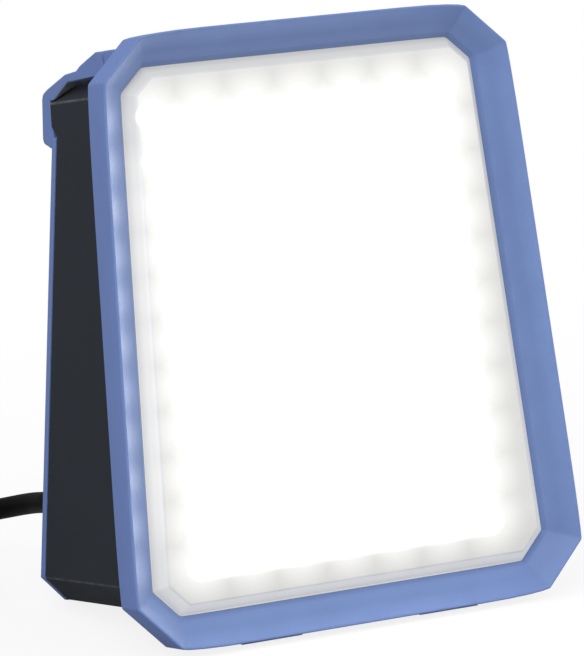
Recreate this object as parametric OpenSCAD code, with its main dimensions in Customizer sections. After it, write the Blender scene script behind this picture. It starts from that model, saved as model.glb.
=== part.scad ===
// LED work light: a wedge-shaped housing behind a bumper frame, with a swing handle and a mains lead.
// Face frame: x to the right, y up the lit face, z out of it, with z = 0 at the front rim.
// Rear frame: x to the right seen from behind, y up the sloping back, z out of it.
// Its z = 0 is where the tub ends.

/* [Front frame] */
// Height of the frame, measured up the face
frame_h = 271; // [255:1:290]
// Width of the frame at its lower edge
frame_w_bottom = 227.5; // [215:0.5:245]
// Width of the frame at its upper edge
frame_w_top = 200; // [192:0.5:215]
// Leg of the chamfered upper corners
frame_chamfer = 18.5; // [17:0.5:22]
// Leg of the chamfered lower corners
low_chamfer = 20.5; // [18:0.5:24]
// Depth of the outer wall, from the rim to its rear edge
frame_depth = 18.5; // [18:0.5:21]
// Outward bow of the left and right edges
side_bow = 0.8; // [0.5:0.1:2]
// Outward bow of the upper and lower edges
end_bow = 1.7; // [0.5:0.1:2.5]
// Wall thickness of the frame
frame_wall = 2.5; // [2:0.1:3]
// Flat land along the front rim
rim_land = 0.8; // [0.4:0.1:1.4]
// Width of the whole bezel, from the outline to the lens
bezel_w = 13.5; // [12.5:0.5:15]
// Width of its sloping face, seen square on, with a steep lip inside it
slope_w = 11.8; // [11:0.1:12.2]
// Fall of the sloping face from the rim to the lip
bezel_drop = 10.5; // [9.5:0.1:11]

/* [Lens] */
// Sheet thickness of the diffuser
lens_t = 1.8; // [1.4:0.1:2.2]
// Height of the raised window above its edge
lens_rise = 7.5; // [5:0.5:9]
// Width of the bevel round the raised window
lens_bevel = 5; // [3:0.5:7]
// Overlap of the lens edge under the lip
lens_lap = 2.2; // [1.5:0.1:2.4]
// Thickness of the seal under the lens
gasket_t = 1; // [0.8:0.1:1.5]

/* [Housing] */
// Step from the frame's outline in to the tub's outline
body_inset = 13.5; // [12.5:0.5:15]
// Wall thickness of the tub
body_wall = 3; // [2.5:0.1:3.5]
// Thickness of the flange that carries the frame
flange_t = 2.2; // [2:0.1:2.6]
// Depth of the tub at mid height, from the front rim
rear_depth = 114; // [108:1:125]
// Angle between the lit face and the back
wedge = 13.5; // [11:0.5:15]
// Depth of the ledge that carries the heat sink, from the front rim
ledge_depth = 27.5; // [26.5:0.5:31]
// Distance of the outer side screws from the ends of the frame
screw_end = 50; // [45:1:55]
// Width of that ledge
ledge_w = 6.5; // [6:0.1:8]
// Thickness of that ledge
ledge_t = 3; // [2:0.1:4]
// Width of the solid handle rest at each top corner
rest_w = 12; // [11:0.5:14]
// Length of the handle rest down the back
rest_h = 26; // [24:0.5:28]
// Clear height under the lamp, filled by the feet
foot_h = 0.6; // [0.5:0.1:2]
// Length of each foot
foot_l = 30; // [20:1:35]
// Width of each foot
foot_w = 7.5; // [7:0.5:11]

/* [Rear cover] */
// Thickness of the cover plate
cover_t = 4.5; // [4:0.1:6]
// Thickness of the seal under the cover
cover_gasket_t = 1; // [0.8:0.1:1.5]

/* [Light engine] */
// Thickness of the heat sink plate
sink_t = 3; // [2.5:0.1:4]
// Height of the cooling fins
fin_h = 16; // [10:1:20]
// Thickness of one fin
fin_t = 2; // [1.5:0.1:2.5]
// Length of the fins
fin_l = 170; // [140:1:190]
// Number of fins
fin_count = 9; // [5:1:11]
// Distance between fins
fin_pitch = 15; // [10:0.5:15]
// Thickness of the LED board
board_t = 1.6; // [1:0.1:2]
// LED columns
led_columns = 7; // [5:1:7]
// LED rows
led_rows = 11; // [7:1:11]
// Distance between columns
led_pitch_x = 24.3; // [20:0.1:24.5]
// Distance between rows
led_pitch_y = 20; // [16:0.1:20.2]
// Side of one LED package
led_size = 5; // [3:0.1:5.5]
// Height of one LED package
led_t = 1.2; // [0.8:0.1:2]

/* [Driver and wiring] */
// Length of the driver case
driver_w = 116; // [100:1:120]
// Height of the driver case up the back
driver_h = 58; // [50:1:64]
// Depth of the driver case
driver_d = 28; // [22:1:30]
// Height of the posts that carry the driver
post_h = 5; // [3:0.5:8]
// Length of the terminal block
block_w = 34; // [30:1:36]
// Height of the terminal block
block_h = 20; // [18:1:22]
// Depth of the terminal block
block_d = 16; // [14:1:18]
// Diameter of the inner leads
lead_d = 2.8; // [2:0.1:3.2]

/* [Switch] */
// Length of the rocker
rocker_l = 23; // [20:0.5:25]
// Width of the rocker
rocker_w = 17; // [15:0.5:18]
// Tilt of the rocker to either side
rocker_tilt = 9; // [7:0.5:10]
// Diameter of the rocker's trunnions
trunnion_d = 3; // [2.5:0.1:3.2]
// Depth of the switch behind the cover face
switch_d = 20; // [18:1:24]
// Width of the switch flange beyond its body
switch_lap = 1.8; // [1.5:0.1:2.5]
// Distance of the switch's middle from the side of the lamp
switch_edge = 38.5; // [34:0.5:45]

/* [Cable gland] */
// Diameter of the gland's thread
gland_d = 20; // [18:0.5:22]
// Width of the gland's hexagon, corner to corner
gland_hex = 27; // [25:0.5:28]
// Height of the gland's own hexagon
gland_hex_h = 6; // [4:0.5:8]
// Height of the dome nut
gland_nut_h = 15; // [12:0.5:16]
// Length of the tapered bend relief
relief_l = 30; // [25:1:40]

/* [Handle] */
// Width of each handle arm
arm_w = 7; // [6.5:0.1:8]
// Thickness of the arm over the top
arm_t = 5; // [4.5:0.1:6]
// Radius of the hub at the end of each arm
hub_r = 6; // [5.6:0.1:7]
// Distance of the pivot behind the frame's rear edge
pivot_back = 18; // [15:0.5:22]
// Diameter of the handle pins
pin_d = 6; // [5:0.1:7]
// Thickness of the grip bar
grip_t = 6; // [5:0.5:9]
// Height of the grip bar
grip_h = 28.5; // [26:0.5:31]
// Gap between the cover and the lower edge of the grip
finger_gap = 7; // [6:0.5:10]

/* [Cable and plug] */
// Diameter of the rubber cable
cable_d = 10.5; // [9.5:0.1:11]
// Turns of the stored coil
coil_turns = 7; // [7:1:7]
// Radius of the innermost turn
coil_inner_r = 42.5; // [42.5:0.5:46]
// Gap between neighbouring turns
coil_gap = 0.7; // [0.6:0.1:1]
// Thickness of the coil ties
tie_t = 1; // [0.8:0.1:1.4]
// Width of the coil ties
tie_w = 14; // [10:1:20]
// Diameter of the plug
plug_d = 37; // [36:0.5:38]
// Length of the plug body
plug_l = 42; // [38:1:50]
// Length of the plug's bend relief
plug_relief_l = 46; // [45:1:55]

/* [Fasteners and fits] */
// Diameter of the screws
screw_d = 3; // [2.5:0.1:3.2]
// Diameter of the screw heads
screw_head_d = 5.5; // [5:0.1:5.8]
// Height of the screw heads
screw_head_h = 2; // [1.6:0.1:2.4]
// Length of the screws under the head
screw_l = 9; // [8:0.5:9.5]
// Gap between parts that are set into each other
fit = 0.3; // [0.2:0.05:0.4]
// Radial gap of threads and turning fits
running_fit = 0.05; // [0.02:0.01:0.1]

/* [Hidden] */
$fn = 48;

BLUE = [0.42, 0.51, 0.72];
DARK = [0.18, 0.19, 0.20];
RUBBER = [0.08, 0.08, 0.09];
STEEL = [0.72, 0.73, 0.75];
BRASS = [0.80, 0.65, 0.32];

// A reach longer than the lamp, for cuts, and a small overlap for joined or cut faces
far = 400;
nip = 0.5;

// The frame's outline tapers: these give its half width and its corner leg at any inset
taper = (frame_w_bottom - frame_w_top) / 2 / frame_h;
side_slope = sqrt(1 + taper * taper);
function half_w(v, inset) = (frame_w_bottom + frame_w_top) / 4 - taper * v - inset * side_slope;
function corner(inset) = frame_chamfer - inset * (2 - sqrt(2));
function low_corner(inset) = low_chamfer - inset * (2 - sqrt(2));
function unit(a) = a / norm(a);
function outline(inset) = let (t = frame_h / 2 - inset, c = corner(inset), d = low_corner(inset)) [
    [c - half_w(t, inset), t], [half_w(t, inset) - c, t],
    [half_w(t - c, inset), t - c], [half_w(d - t, inset), d - t],
    [half_w(-t, inset) - d, -t], [d - half_w(-t, inset), -t],
    [-half_w(d - t, inset), d - t], [-half_w(t - c, inset), t - c]];

// The frame's own outline bows out along its four long edges, flat in the middle and falling off
// to the corners
bow_steps = [0, 0.05, 0.13, 0.26, 0.74, 0.87, 0.95];
bow_reach = bezel_w + 2;
function bow_at(f) = 1 - pow(abs(2 * f - 1), 8);
function bowed_edge(a, b, bow) = let (out = unit([a.y - b.y, b.x - a.x]))
    [for (f = bow_steps) a + (b - a) * f + out * bow * bow_at(f)];
function bowed_outline(inset) = let (p = outline(inset), share = 1 - inset / bow_reach) concat(
    bowed_edge(p[0], p[1], end_bow * share), [p[1]], bowed_edge(p[2], p[3], side_bow * share), [p[3]],
    bowed_edge(p[4], p[5], end_bow * share), [p[5]], bowed_edge(p[6], p[7], side_bow * share), [p[7]]);

// Spots round the outline: on both sides at heights vs, and top and bottom at widths us
function edge_spots(inset, vs, us) = concat(
    [for (v = vs) for (s = [-1, 1]) [s * half_w(v, inset), v]],
    [for (u = us) for (s = [-1, 1]) [u, s * (frame_h / 2 - inset)]]);

// Depth levels of the clamped front stack
z_seat = flange_t - frame_depth;
z_gasket = z_seat + gasket_t;
z_lip = z_gasket + lens_t;
z_window = z_lip + lens_rise;
z_sink = -ledge_depth;
z_board = z_sink + sink_t;
z_led = z_board + board_t;

// The cover's two faces in the rear frame, and the depth of a rear plane at height v in the face frame
cover_in = cover_gasket_t;
cover_out = cover_gasket_t + cover_t;
function plane_n(v, z) = v * tan(wedge) - rear_depth - z / cos(wedge);

// The tub's top, its corner and its inside
body_top = frame_h / 2 - body_inset;
body_corner = corner(body_inset);
inner_inset = body_inset + body_wall;

// The lamp leans back until the frame and the rear edge of the cover are level above the feet
frame_low = frame_h / 2 + end_bow;
rear_bottom_n = plane_n(-body_top, cover_out);
lean = atan2(frame_low - body_top, -rear_bottom_n - frame_depth);
face_z = frame_low * cos(lean) + frame_depth * sin(lean) + foot_h;
front_y = -frame_low * sin(lean);
rear_y = -body_top * sin(lean) - rear_bottom_n * cos(lean);
face_y = -(front_y + rear_y) / 2;
function rear_to_face(q) = [-q.x, q.y * cos(wedge) + q.z * sin(wedge),
    q.y * sin(wedge) - q.z * cos(wedge) - rear_depth];
function face_to_world(p) = [p.x, face_y + p.y * sin(lean) - p.z * cos(lean),
    face_z + p.y * cos(lean) + p.z * sin(lean)];

module on_face() translate([0, face_y, face_z]) rotate([90 - lean, 0, 0]) children();
module rear_place() translate([0, 0, -rear_depth]) rotate([wedge, 0, 0]) rotate([0, 180, 0]) children();
module on_rear() on_face() rear_place() children();

// A plate with the tapered outline between two depths
module slab(inset, z0, z1) translate([0, 0, z0]) linear_extrude(z1 - z0) polygon(outline(inset));

module bowed_slab(inset, z0, z1)
    translate([0, 0, z0]) linear_extrude(z1 - z0) polygon(bowed_outline(inset));

// A solid that changes from one outline to another between two depths
module loft(low, z0, high, z1) {
    n = len(low);
    points = concat([for (p = low) [p.x, p.y, z0]], [for (p = high) [p.x, p.y, z1]]);
    sides = [for (i = [0:n - 1]) let (j = (i + 1) % n) for (f = [[i, j, j + n], [i, j + n, i + n]]) f];
    polyhedron(points, concat([[for (i = [0:n - 1]) n - 1 - i], [for (i = [n:2 * n - 1]) i]], sides));
}
module frustum(inset0, z0, inset1, z1) loft(outline(inset0), z0, outline(inset1), z1);
module bowed_frustum(inset0, z0, inset1, z1) loft(bowed_outline(inset0), z0, bowed_outline(inset1), z1);

// A layer of the rear frame, drawn in the face frame
module rear_layer(z0, z1) rear_place() translate([-far, -far, z0]) cube([2 * far, 2 * far, z1 - z0]);

// A side profile in (height, depth), drawn out along the lamp's width
module across(u0, u1) translate([u0, 0, 0]) rotate([90, 0, 90]) linear_extrude(u1 - u0) children();
module both_sides() for (m = [0, 1]) mirror([m, 0, 0]) children();

// A pan head screw, head below z = 0 and shank above
module screw(length) difference() {
    union() {
        translate([0, 0, -screw_head_h]) cylinder(d = screw_head_d, h = screw_head_h);
        cylinder(d = screw_d, h = length);
    }
    translate([0, 0, -screw_head_h - nip]) cylinder(d = screw_d, h = screw_head_h / 2 + nip, $fn = 6);
}

// Holes for such a screw: a tight one that it threads into, and a free one that it passes
tight_d = screw_d + 2 * running_fit;
free_d = screw_d + 2 * fit;
head_hole_d = screw_head_d + 2 * fit;
boss_d = screw_head_d + 2.5;

// A tube swept along points, with the ring normals square to a reference direction
function heading(path, i) = unit(path[min(i + 1, len(path) - 1)] - path[max(i - 1, 0)]);
function path_length(path) = [for (i = 0, s = 0; i < len(path); i = i + 1,
    s = s + (i < len(path) ? norm(path[i] - path[i - 1]) : 0)) s][len(path) - 1];
module tube(path, d, sides, ref) {
    last = len(path) - 1;
    rings = [for (i = [0:last]) let (a = unit(cross(heading(path, i), ref)), b = cross(a, heading(path, i)))
        for (k = [0:sides - 1]) path[i] + d / 2 * (cos(360 * k / sides) * a + sin(360 * k / sides) * b)];
    skin = [for (i = [0:last - 1]) for (k = [0:sides - 1])
        let (p = i * sides + k, q = i * sides + (k + 1) % sides)
        for (f = [[p, q, p + sides], [q, q + sides, p + sides]]) f];
    start = [for (k = [1:sides - 2]) [0, k + 1, k]];
    end = [for (k = [1:sides - 2]) [last * sides, last * sides + k, last * sides + k + 1]];
    polyhedron(rings, concat(skin, start, end));
}

// Front frame: outer wall, sloping face, lip, screw bosses and pockets for the feet
frame_screw_inset = bezel_w / 2;
side_v = frame_h / 2 - screw_end;
end_u = frame_w_top / 4;
frame_spots = edge_spots(frame_screw_inset, [-side_v, 0, side_v], [-end_u, end_u]);
face_slope = bezel_drop / (slope_w - rim_land);
function face_at(inset) = -face_slope * (inset - rim_land);
face_wall = frame_wall * sqrt(1 + face_slope * face_slope);
lip_inset = bezel_w - frame_wall;
frame_boss_r = (lip_inset - frame_wall) / 2 - 1;
frame_boss_top = face_at(frame_screw_inset + frame_boss_r) - 0.8;
foot_sink = 1;
foot_inner = 30;
foot_front_n = 1 - frame_depth + foot_w / 2;
module frame_cavity() difference() {
    slab(frame_wall, -frame_depth - nip, face_at(frame_wall) - face_wall);
    frustum(lip_inset, face_at(lip_inset) - face_wall,
        frame_wall - nip, face_at(frame_wall - nip) - face_wall);
    slab(lip_inset, -frame_depth - 2 * nip, face_at(lip_inset) - face_wall + nip);
}
module front_foot_blocks(drop) both_sides()
    translate([foot_inner, -frame_low - drop, foot_front_n - foot_w / 2])
        cube([foot_l, foot_sink + drop, foot_w]);
module frame_ring() difference() {
    bowed_slab(0, -frame_depth, 0);
    bowed_frustum(slope_w, -bezel_drop, rim_land - nip / face_slope, nip);
    bowed_frustum(bezel_w, z_lip, slope_w, -bezel_drop);
    slab(lip_inset, -frame_depth - nip, z_lip);
    frame_cavity();
    front_foot_blocks(nip);
}
module front_frame() color(BLUE) on_face() difference() {
    union() {
        frame_ring();
        for (p = frame_spots) translate([p.x, p.y, z_seat])
            cylinder(r = frame_boss_r, h = frame_boss_top - z_seat);
    }
    for (p = frame_spots) translate([p.x, p.y, z_seat - nip])
        cylinder(d = tight_d, h = screw_l - flange_t + 2 * nip);
}
module frame_screws() color(STEEL) on_face()
    for (p = frame_spots) translate([p.x, p.y, -frame_depth]) screw(screw_l);

// Feet: rubber pads set into the frame and the tub, cut level with the ground
module above_ground() intersection() {
    children();
    translate([-far, -far, 0]) cube(2 * far);
}
module front_feet() color(RUBBER) above_ground() on_face() front_foot_blocks(frame_depth);
foot_rear_n = plane_n(-body_top, 0) + foot_w / 2 + 4;
module rear_foot_blocks(drop) both_sides()
    translate([foot_inner, -body_top - drop, foot_rear_n - foot_w / 2])
        cube([foot_l, foot_sink + drop, foot_w]);
module rear_feet() color(RUBBER) above_ground() on_face() rear_foot_blocks(frame_depth);

// Lens: a flat edge under the lip, and a window raised on a bevel
lens_gap = fit;
module lens() color([0.95, 0.95, 0.93]) on_face() difference() {
    union() {
        slab(bezel_w - lens_lap, z_gasket, z_lip);
        frustum(bezel_w + lens_gap, z_lip - nip, bezel_w + lens_gap + lens_bevel, z_window);
    }
    frustum(bezel_w + lens_gap + lens_t, z_gasket - nip,
        bezel_w + lens_gap + lens_bevel + lens_t, z_window - lens_t);
}
module lens_gasket() color(RUBBER) on_face() difference() {
    slab(bezel_w - lens_lap, z_seat, z_gasket);
    slab(inner_inset - nip, z_seat - nip, z_gasket + nip);
}

// Handle levels: the arms pass over the tub's chamfered top corners and hook down behind the cover
hug_gap = 0.5;
arm_out = half_w(body_top - body_corner, body_inset) - fit;
arm_in = arm_out - arm_w;
arm_under = body_top - body_corner + arm_w + 3 * fit + 0.2;
pivot_v = arm_under + hub_r;
pivot_n = -frame_depth - pivot_back;
rest_low = body_top - rest_h;
rest_n = plane_n(rest_low, cover_out);
rest_in = arm_out - rest_w;
hook_n = rest_n - 2 * fit;
grip_low = arm_under - grip_h;
function grip_in(v) = plane_n(v, cover_out + finger_gap);
function grip_out(v) = plane_n(v, cover_out + finger_gap + grip_t);
hinge_in = arm_in - 14;
module on_pivot() translate([0, pivot_v, pivot_n]) rotate([0, 90, 0]) children();

// Housing: the tub with its flange, ledge, bosses, handle rests and hinge blocks
sink_screw_inset = inner_inset + ledge_w / 2 + 0.2;
sink_spots = edge_spots(sink_screw_inset, [-side_v, 0, side_v], []);
cover_screw_inset = inner_inset + boss_d / 2 - nip;
cover_vs = [-side_v - 8, -side_v * 0.38, side_v * 0.3, side_v - 6];
cover_spots = [for (v = cover_vs) for (s = [-1, 1]) [s * half_w(v, cover_screw_inset), v / cos(wedge)]];
boss_l = screw_l + 2;
module rest_profile() polygon([[rest_low, plane_n(rest_low, 0) + 8], [rest_low, plane_n(rest_low, 0)],
    [rest_low + 4.5, rest_n], [far, rest_n], [far, plane_n(body_top, 0) + 8]]);
module handle_rests() intersection() {
    slab(body_inset, -far, -frame_depth);
    both_sides() across(rest_in, far) rest_profile();
}
module hinge_blocks() both_sides() {
    translate([hinge_in, 0, 0]) on_pivot() cylinder(r = hub_r - fit, h = arm_in - fit - hinge_in);
    translate([hinge_in, body_top - nip, pivot_n - hub_r + fit])
        cube([arm_in - fit - hinge_in, pivot_v - body_top + nip, 2 * hub_r - 2 * fit]);
}
module housing() color(DARK) on_face() difference() {
    union() {
        difference() {
            union() {
                slab(body_inset, -far, nip - frame_depth);
                slab(frame_wall + fit, -frame_depth, z_seat);
            }
            slab(inner_inset, -far - nip, nip + z_seat);
            rear_layer(0, 2 * far);
        }
        difference() {
            slab(inner_inset - nip, z_sink - ledge_t, z_sink);
            slab(inner_inset + ledge_w, z_sink - ledge_t - nip, z_sink + nip);
        }
        for (p = sink_spots) translate([p.x, p.y, z_sink - boss_l]) cylinder(d = boss_d - 1, h = boss_l);
        rear_place() for (p = cover_spots) translate([-p.x, p.y, -boss_l]) cylinder(d = boss_d, h = boss_l);
        handle_rests();
        hinge_blocks();
    }
    for (p = frame_spots) translate([p.x, p.y, -frame_depth - nip])
        cylinder(d = free_d, h = flange_t + 2 * nip);
    for (p = sink_spots) translate([p.x, p.y, z_sink - boss_l + 1]) cylinder(d = tight_d, h = boss_l);
    rear_place() for (p = cover_spots) translate([-p.x, p.y, 1 - boss_l]) cylinder(d = tight_d, h = boss_l);
    both_sides() translate([hinge_in - nip, 0, 0]) on_pivot()
        cylinder(d = pin_d + 2 * running_fit, h = far);
    rear_foot_blocks(nip);
}

// Handle: two arms with hubs that hug the tub's corners, joined behind the cover by the grip bar
pin_reach = arm_w - 2;
arm_top = arm_under + arm_t;
hub_top = pivot_v + hub_r;
hub_corner = 0.8 * hub_r;
module arm_profile() polygon([[hub_top, pivot_n + hub_corner], [pivot_v + hub_corner, pivot_n + hub_r],
    [pivot_v, pivot_n + hub_r], [arm_under + 1.7, pivot_n],
    [arm_under + 0.4, rest_n + 23.5],
    [body_top - body_corner - 1, hook_n], [rest_low, hook_n],
    [grip_low, plane_n(grip_low, cover_out + 0.8)],
    [grip_low, plane_n(grip_low, cover_out + 5)], [grip_low + 3, grip_out(grip_low + 3)],
    [arm_under - 4, grip_out(arm_under - 4)], [arm_under - 1.5, rest_n - 3], [arm_top - 0.8, rest_n + 20.3],
    [arm_top, pivot_n - 26.5], [arm_top + 2.1, pivot_n - 21.2], [hub_top - 2.5, pivot_n - 12],
    [hub_top - 0.4, pivot_n - 3.6], [hub_top, pivot_n]]);
module grip_profile() polygon([[grip_low, grip_in(grip_low)], [grip_low, grip_in(grip_low) - 1],
    [grip_low + 3, grip_out(grip_low + 3)], [arm_under - 4, grip_out(arm_under - 4)],
    [arm_under - 1.5, grip_out(arm_under - 1.5) + 4.5], [arm_under - 1.5, grip_in(arm_under - 1.5)]]);
module handle() color(BLUE) on_face() difference() {
    union() {
        both_sides() across(arm_in, arm_out) arm_profile();
        both_sides() translate([arm_in, 0, 0]) on_pivot() cylinder(r = hub_r, h = arm_w);
        across(-arm_in - nip, arm_in + nip) grip_profile();
    }
    slab(body_inset - hug_gap, hook_n, -frame_depth);
    both_sides() translate([arm_in - nip, 0, 0]) on_pivot()
        cylinder(d = pin_d + 2 * running_fit, h = pin_reach + nip);
}

// Hinge caps: blue covers behind the frame, hollowed so that each hub's corner turns inside them
cap_low = arm_under + 1.7;
cap_back = pivot_n + hub_r + 1;
module hinge_caps() color(BLUE) on_face() both_sides() difference() {
    across(arm_in - fit, arm_out) polygon([[cap_low, -frame_depth], [hub_top, -frame_depth],
        [hub_top, cap_back], [pivot_v, cap_back], [pivot_v, pivot_n + 2], [cap_low, pivot_n + 2]]);
    on_pivot() cylinder(r = norm([hub_r, hub_corner]) + 2 * fit, h = far);
}
module handle_pins() color(STEEL) on_face() both_sides() translate([hinge_in, 0, 0]) on_pivot()
    cylinder(d = pin_d, h = arm_in + pin_reach - fit - hinge_in);

// Light engine: finned plate on the ledge, board and LED packages, with a way through for the leads
board_inset = sink_screw_inset + screw_head_d / 2 + 1;
lead_hole_d = 2 * lead_d + 1;
lead_hole = [led_pitch_x / 2, board_inset - frame_h / 2 + lead_hole_d];
module heat_sink() color([0.75, 0.76, 0.78]) on_face() difference() {
    union() {
        slab(inner_inset + fit, z_sink, z_board);
        for (i = [0:fin_count - 1])
            translate([(i - (fin_count - 1) / 2) * fin_pitch - fin_t / 2, -fin_l / 2, z_sink - fin_h])
            cube([fin_t, fin_l, fin_h + nip]);
    }
    for (p = sink_spots) translate([p.x, p.y, z_sink - nip]) cylinder(d = free_d, h = sink_t + 2 * nip);
    translate([lead_hole.x, lead_hole.y, z_sink - nip]) cylinder(d = lead_hole_d, h = sink_t + 2 * nip);
}
module sink_screws() color(STEEL) on_face()
    for (p = sink_spots) translate([p.x, p.y, z_board]) rotate([180, 0, 0]) screw(screw_l);
module led_board() color([0.9, 0.91, 0.9]) on_face() difference() {
    slab(board_inset, z_board, z_led);
    translate([lead_hole.x, lead_hole.y, z_board - nip]) cylinder(d = lead_hole_d, h = board_t + 2 * nip);
}
module leds() color([0.98, 0.9, 0.45]) on_face()
    for (i = [0:led_columns - 1]) for (j = [0:led_rows - 1])
        translate([(i - (led_columns - 1) / 2) * led_pitch_x - led_size / 2,
            (j - (led_rows - 1) / 2) * led_pitch_y - led_size / 2, z_led])
            cube([led_size, led_size, led_t]);

// Places on the back, in the rear frame
driver_y = 32;
gland_x = 66;
gland_y = -100;
block_x = 18;
block_y = -86;
switch_y = -70;
switch_x = switch_edge - half_w(switch_y * cos(wedge), body_inset);
vent_x = -66;
vent_y = -20;

// Rear cover: a plate over the tub with openings, sunk screw heads and driver posts
post_spots = [for (sx = [-1, 1]) for (sy = [-1, 1])
    [sx * (driver_w / 2 + boss_d / 2 + fit), driver_y + sy * (driver_h / 2 - boss_d / 2)]];
switch_w = rocker_w + 2 * fit + 3.4;
switch_l = rocker_l + 2 + 3.4;
vent_d = 12;
module rest_notches() both_sides() across(rest_in - fit, far)
    polygon([[rest_low - fit, 0], [rest_low - fit, -far],
    [far, -far], [far, 0]]);
module rear_cover() color(BLUE) on_face() {
    difference() {
        intersection() {
            slab(body_inset, -far, -frame_depth);
            rear_layer(cover_in, cover_out);
        }
        rest_notches();
        rear_place() {
            for (p = cover_spots) translate([-p.x, p.y, 0]) {
                cylinder(d = free_d, h = cover_out + nip);
                translate([0, 0, cover_out - screw_head_h])
                    cylinder(d = head_hole_d, h = screw_head_h + nip);
            }
            translate([gland_x, gland_y, 0]) cylinder(d = gland_d + 2 * running_fit, h = cover_out + nip);
            translate([vent_x, vent_y, 0]) cylinder(d = vent_d + 2 * running_fit, h = cover_out + nip);
            translate([switch_x - switch_w / 2 - fit, switch_y - switch_l / 2 - fit, 0])
                cube([switch_w + 2 * fit, switch_l + 2 * fit, cover_out + nip]);
        }
    }
    rear_place() for (p = post_spots) translate([p.x, p.y, cover_in - post_h]) difference() {
        cylinder(d = boss_d, h = post_h + nip);
        translate([0, 0, -nip]) cylinder(d = tight_d, h = post_h + nip);
    }
}
module cover_gasket() color(RUBBER) on_face() difference() {
    intersection() {
        slab(body_inset + 0.8, -far, -frame_depth);
        rear_layer(0, cover_in);
    }
    slab(inner_inset - fit, -far - nip, 0);
    rest_notches();
}
module cover_screws() color(STEEL) on_rear()
    for (p = cover_spots) translate([-p.x, p.y, cover_out - screw_head_h])
        rotate([180, 0, 0]) screw(screw_l);
module vent_plug() color(DARK) on_rear() translate([vent_x, vent_y, 0]) {
    translate([0, 0, cover_in - 4]) cylinder(d = vent_d, h = cover_t + 4);
    translate([0, 0, cover_out]) cylinder(d = vent_d + 6, h = 2.5, $fn = 6);
    translate([0, 0, cover_out + 2]) cylinder(d = vent_d + 3, h = 2);
}

// Driver on its posts, with a flange at each end
driver_back = cover_in - post_h;
flange_l = boss_d + 2 * fit;
driver_flange_t = 3;
module driver_case() color([0.85, 0.85, 0.83]) on_rear() difference() {
    union() {
        translate([-driver_w / 2, driver_y - driver_h / 2, driver_back - driver_d])
            cube([driver_w, driver_h, driver_d]);
        translate([-driver_w / 2 - flange_l, driver_y - driver_h / 2, driver_back - driver_flange_t])
            cube([driver_w + 2 * flange_l, driver_h, driver_flange_t]);
    }
    for (p = post_spots) translate([p.x, p.y, driver_back - driver_flange_t - nip])
        cylinder(d = free_d, h = driver_flange_t + 2 * nip);
}
module driver_screws() color(STEEL) on_rear()
    for (p = post_spots) translate([p.x, p.y, driver_back - driver_flange_t])
        screw(driver_flange_t + post_h - 1);

// Terminal block with three ways, and its clamp screws
block_pitch = block_w / 3;
module terminal_block() color([0.93, 0.93, 0.9]) on_rear() difference() {
    translate([block_x - block_w / 2, block_y - block_h / 2, cover_in - block_d])
        cube([block_w, block_h, block_d]);
    for (i = [-1:1]) translate([block_x + i * block_pitch, block_y, cover_in - block_d - nip])
        cylinder(d = head_hole_d, h = screw_head_h + 6);
}
module terminal_screws() color(BRASS) on_rear() for (i = [-1:1])
    translate([block_x + i * block_pitch, block_y, cover_in - block_d + screw_head_h]) screw(3);

// Inner leads, routed in the rear frame between the cable end, the block, the switch and the driver
tail_z = cover_in - 17;
lead_sides = 8;
function in_face(path) = [for (q = path) rear_to_face(q)];
block_in_y = block_y - block_h / 2 - fit;
block_out_y = block_y + block_h / 2 + fit;
block_z = cover_in - block_d + 5;
driver_low_y = driver_y - driver_h / 2 - fit;
tab_z = cover_out - switch_d - 7;
module lead(path) tube(in_face(path), lead_d, lead_sides, [0.3, 0.2, 1]);
function from_cable(dx, way) = let (x = block_x + way * block_pitch) [
    [gland_x + dx, gland_y, tail_z - fit], [gland_x + dx, gland_y, tail_z - 8 + 4 * way],
    [gland_x + dx - 6, gland_y - 3, tail_z - 14 + 4 * way], [x + 10, block_in_y - 9, tail_z - 12 + 4 * way],
    [x + 2, block_in_y - 9, block_z - 4], [x, block_in_y - 5, block_z], [x, block_in_y, block_z]];
function to_driver(way, x1) = let (x = block_x + way * block_pitch) [
    [x, block_out_y, block_z], [x, block_out_y + 6, block_z], [x1, driver_low_y - 12, block_z - 3],
    [x1, driver_low_y - 5, driver_back - 14], [x1, driver_low_y, driver_back - 14]];
module live_lead() color([0.45, 0.28, 0.17]) on_face() {
    lead(from_cable(-3, 1));
    lead([[block_x - block_w / 2 - fit, block_y, block_z], [block_x - block_w / 2 - 8, block_y, block_z],
        [switch_x + 26, switch_y - 4, tab_z - 7], [switch_x + 12, switch_y - 5, tab_z - 9],
        [switch_x + 1, switch_y - 5, tab_z - 6], [switch_x, switch_y - 5, tab_z - fit]]);
    lead([[switch_x, switch_y + 5, tab_z - fit], [switch_x + 1, switch_y + 6, tab_z - 6],
        [switch_x + 5, switch_y + 22, tab_z - 6], [switch_x + 12, driver_low_y - 10, driver_back - 16],
        [switch_x + 13, driver_low_y - 4, driver_back - 14],
        [switch_x + 13, driver_low_y, driver_back - 14]]);
}
module neutral_lead() color([0.2, 0.42, 0.75]) on_face() {
    lead(from_cable(0, 0));
    lead(to_driver(0, block_x + 4));
}
module earth_lead() color([0.45, 0.65, 0.2]) on_face() {
    lead(from_cable(3, -1));
    lead(to_driver(-1, block_x - 18));
}
module led_leads() color([0.75, 0.12, 0.12]) on_face() for (s = [-1, 1]) {
    x = lead_hole.x - s * lead_d * 0.55;
    tube([rear_to_face([s * 10 - lead_hole.x, driver_low_y, driver_back - 20]),
        rear_to_face([s * 10 - lead_hole.x, driver_low_y - 8, driver_back - 20]),
        [x - s, lead_hole.y + 12, z_sink - fin_h - 10], [x, lead_hole.y, z_sink - 8],
        [x, lead_hole.y, z_sink], [x, lead_hole.y, z_led + 0.4]], lead_d, lead_sides, [0.3, 1, 0.2]);
}

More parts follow.
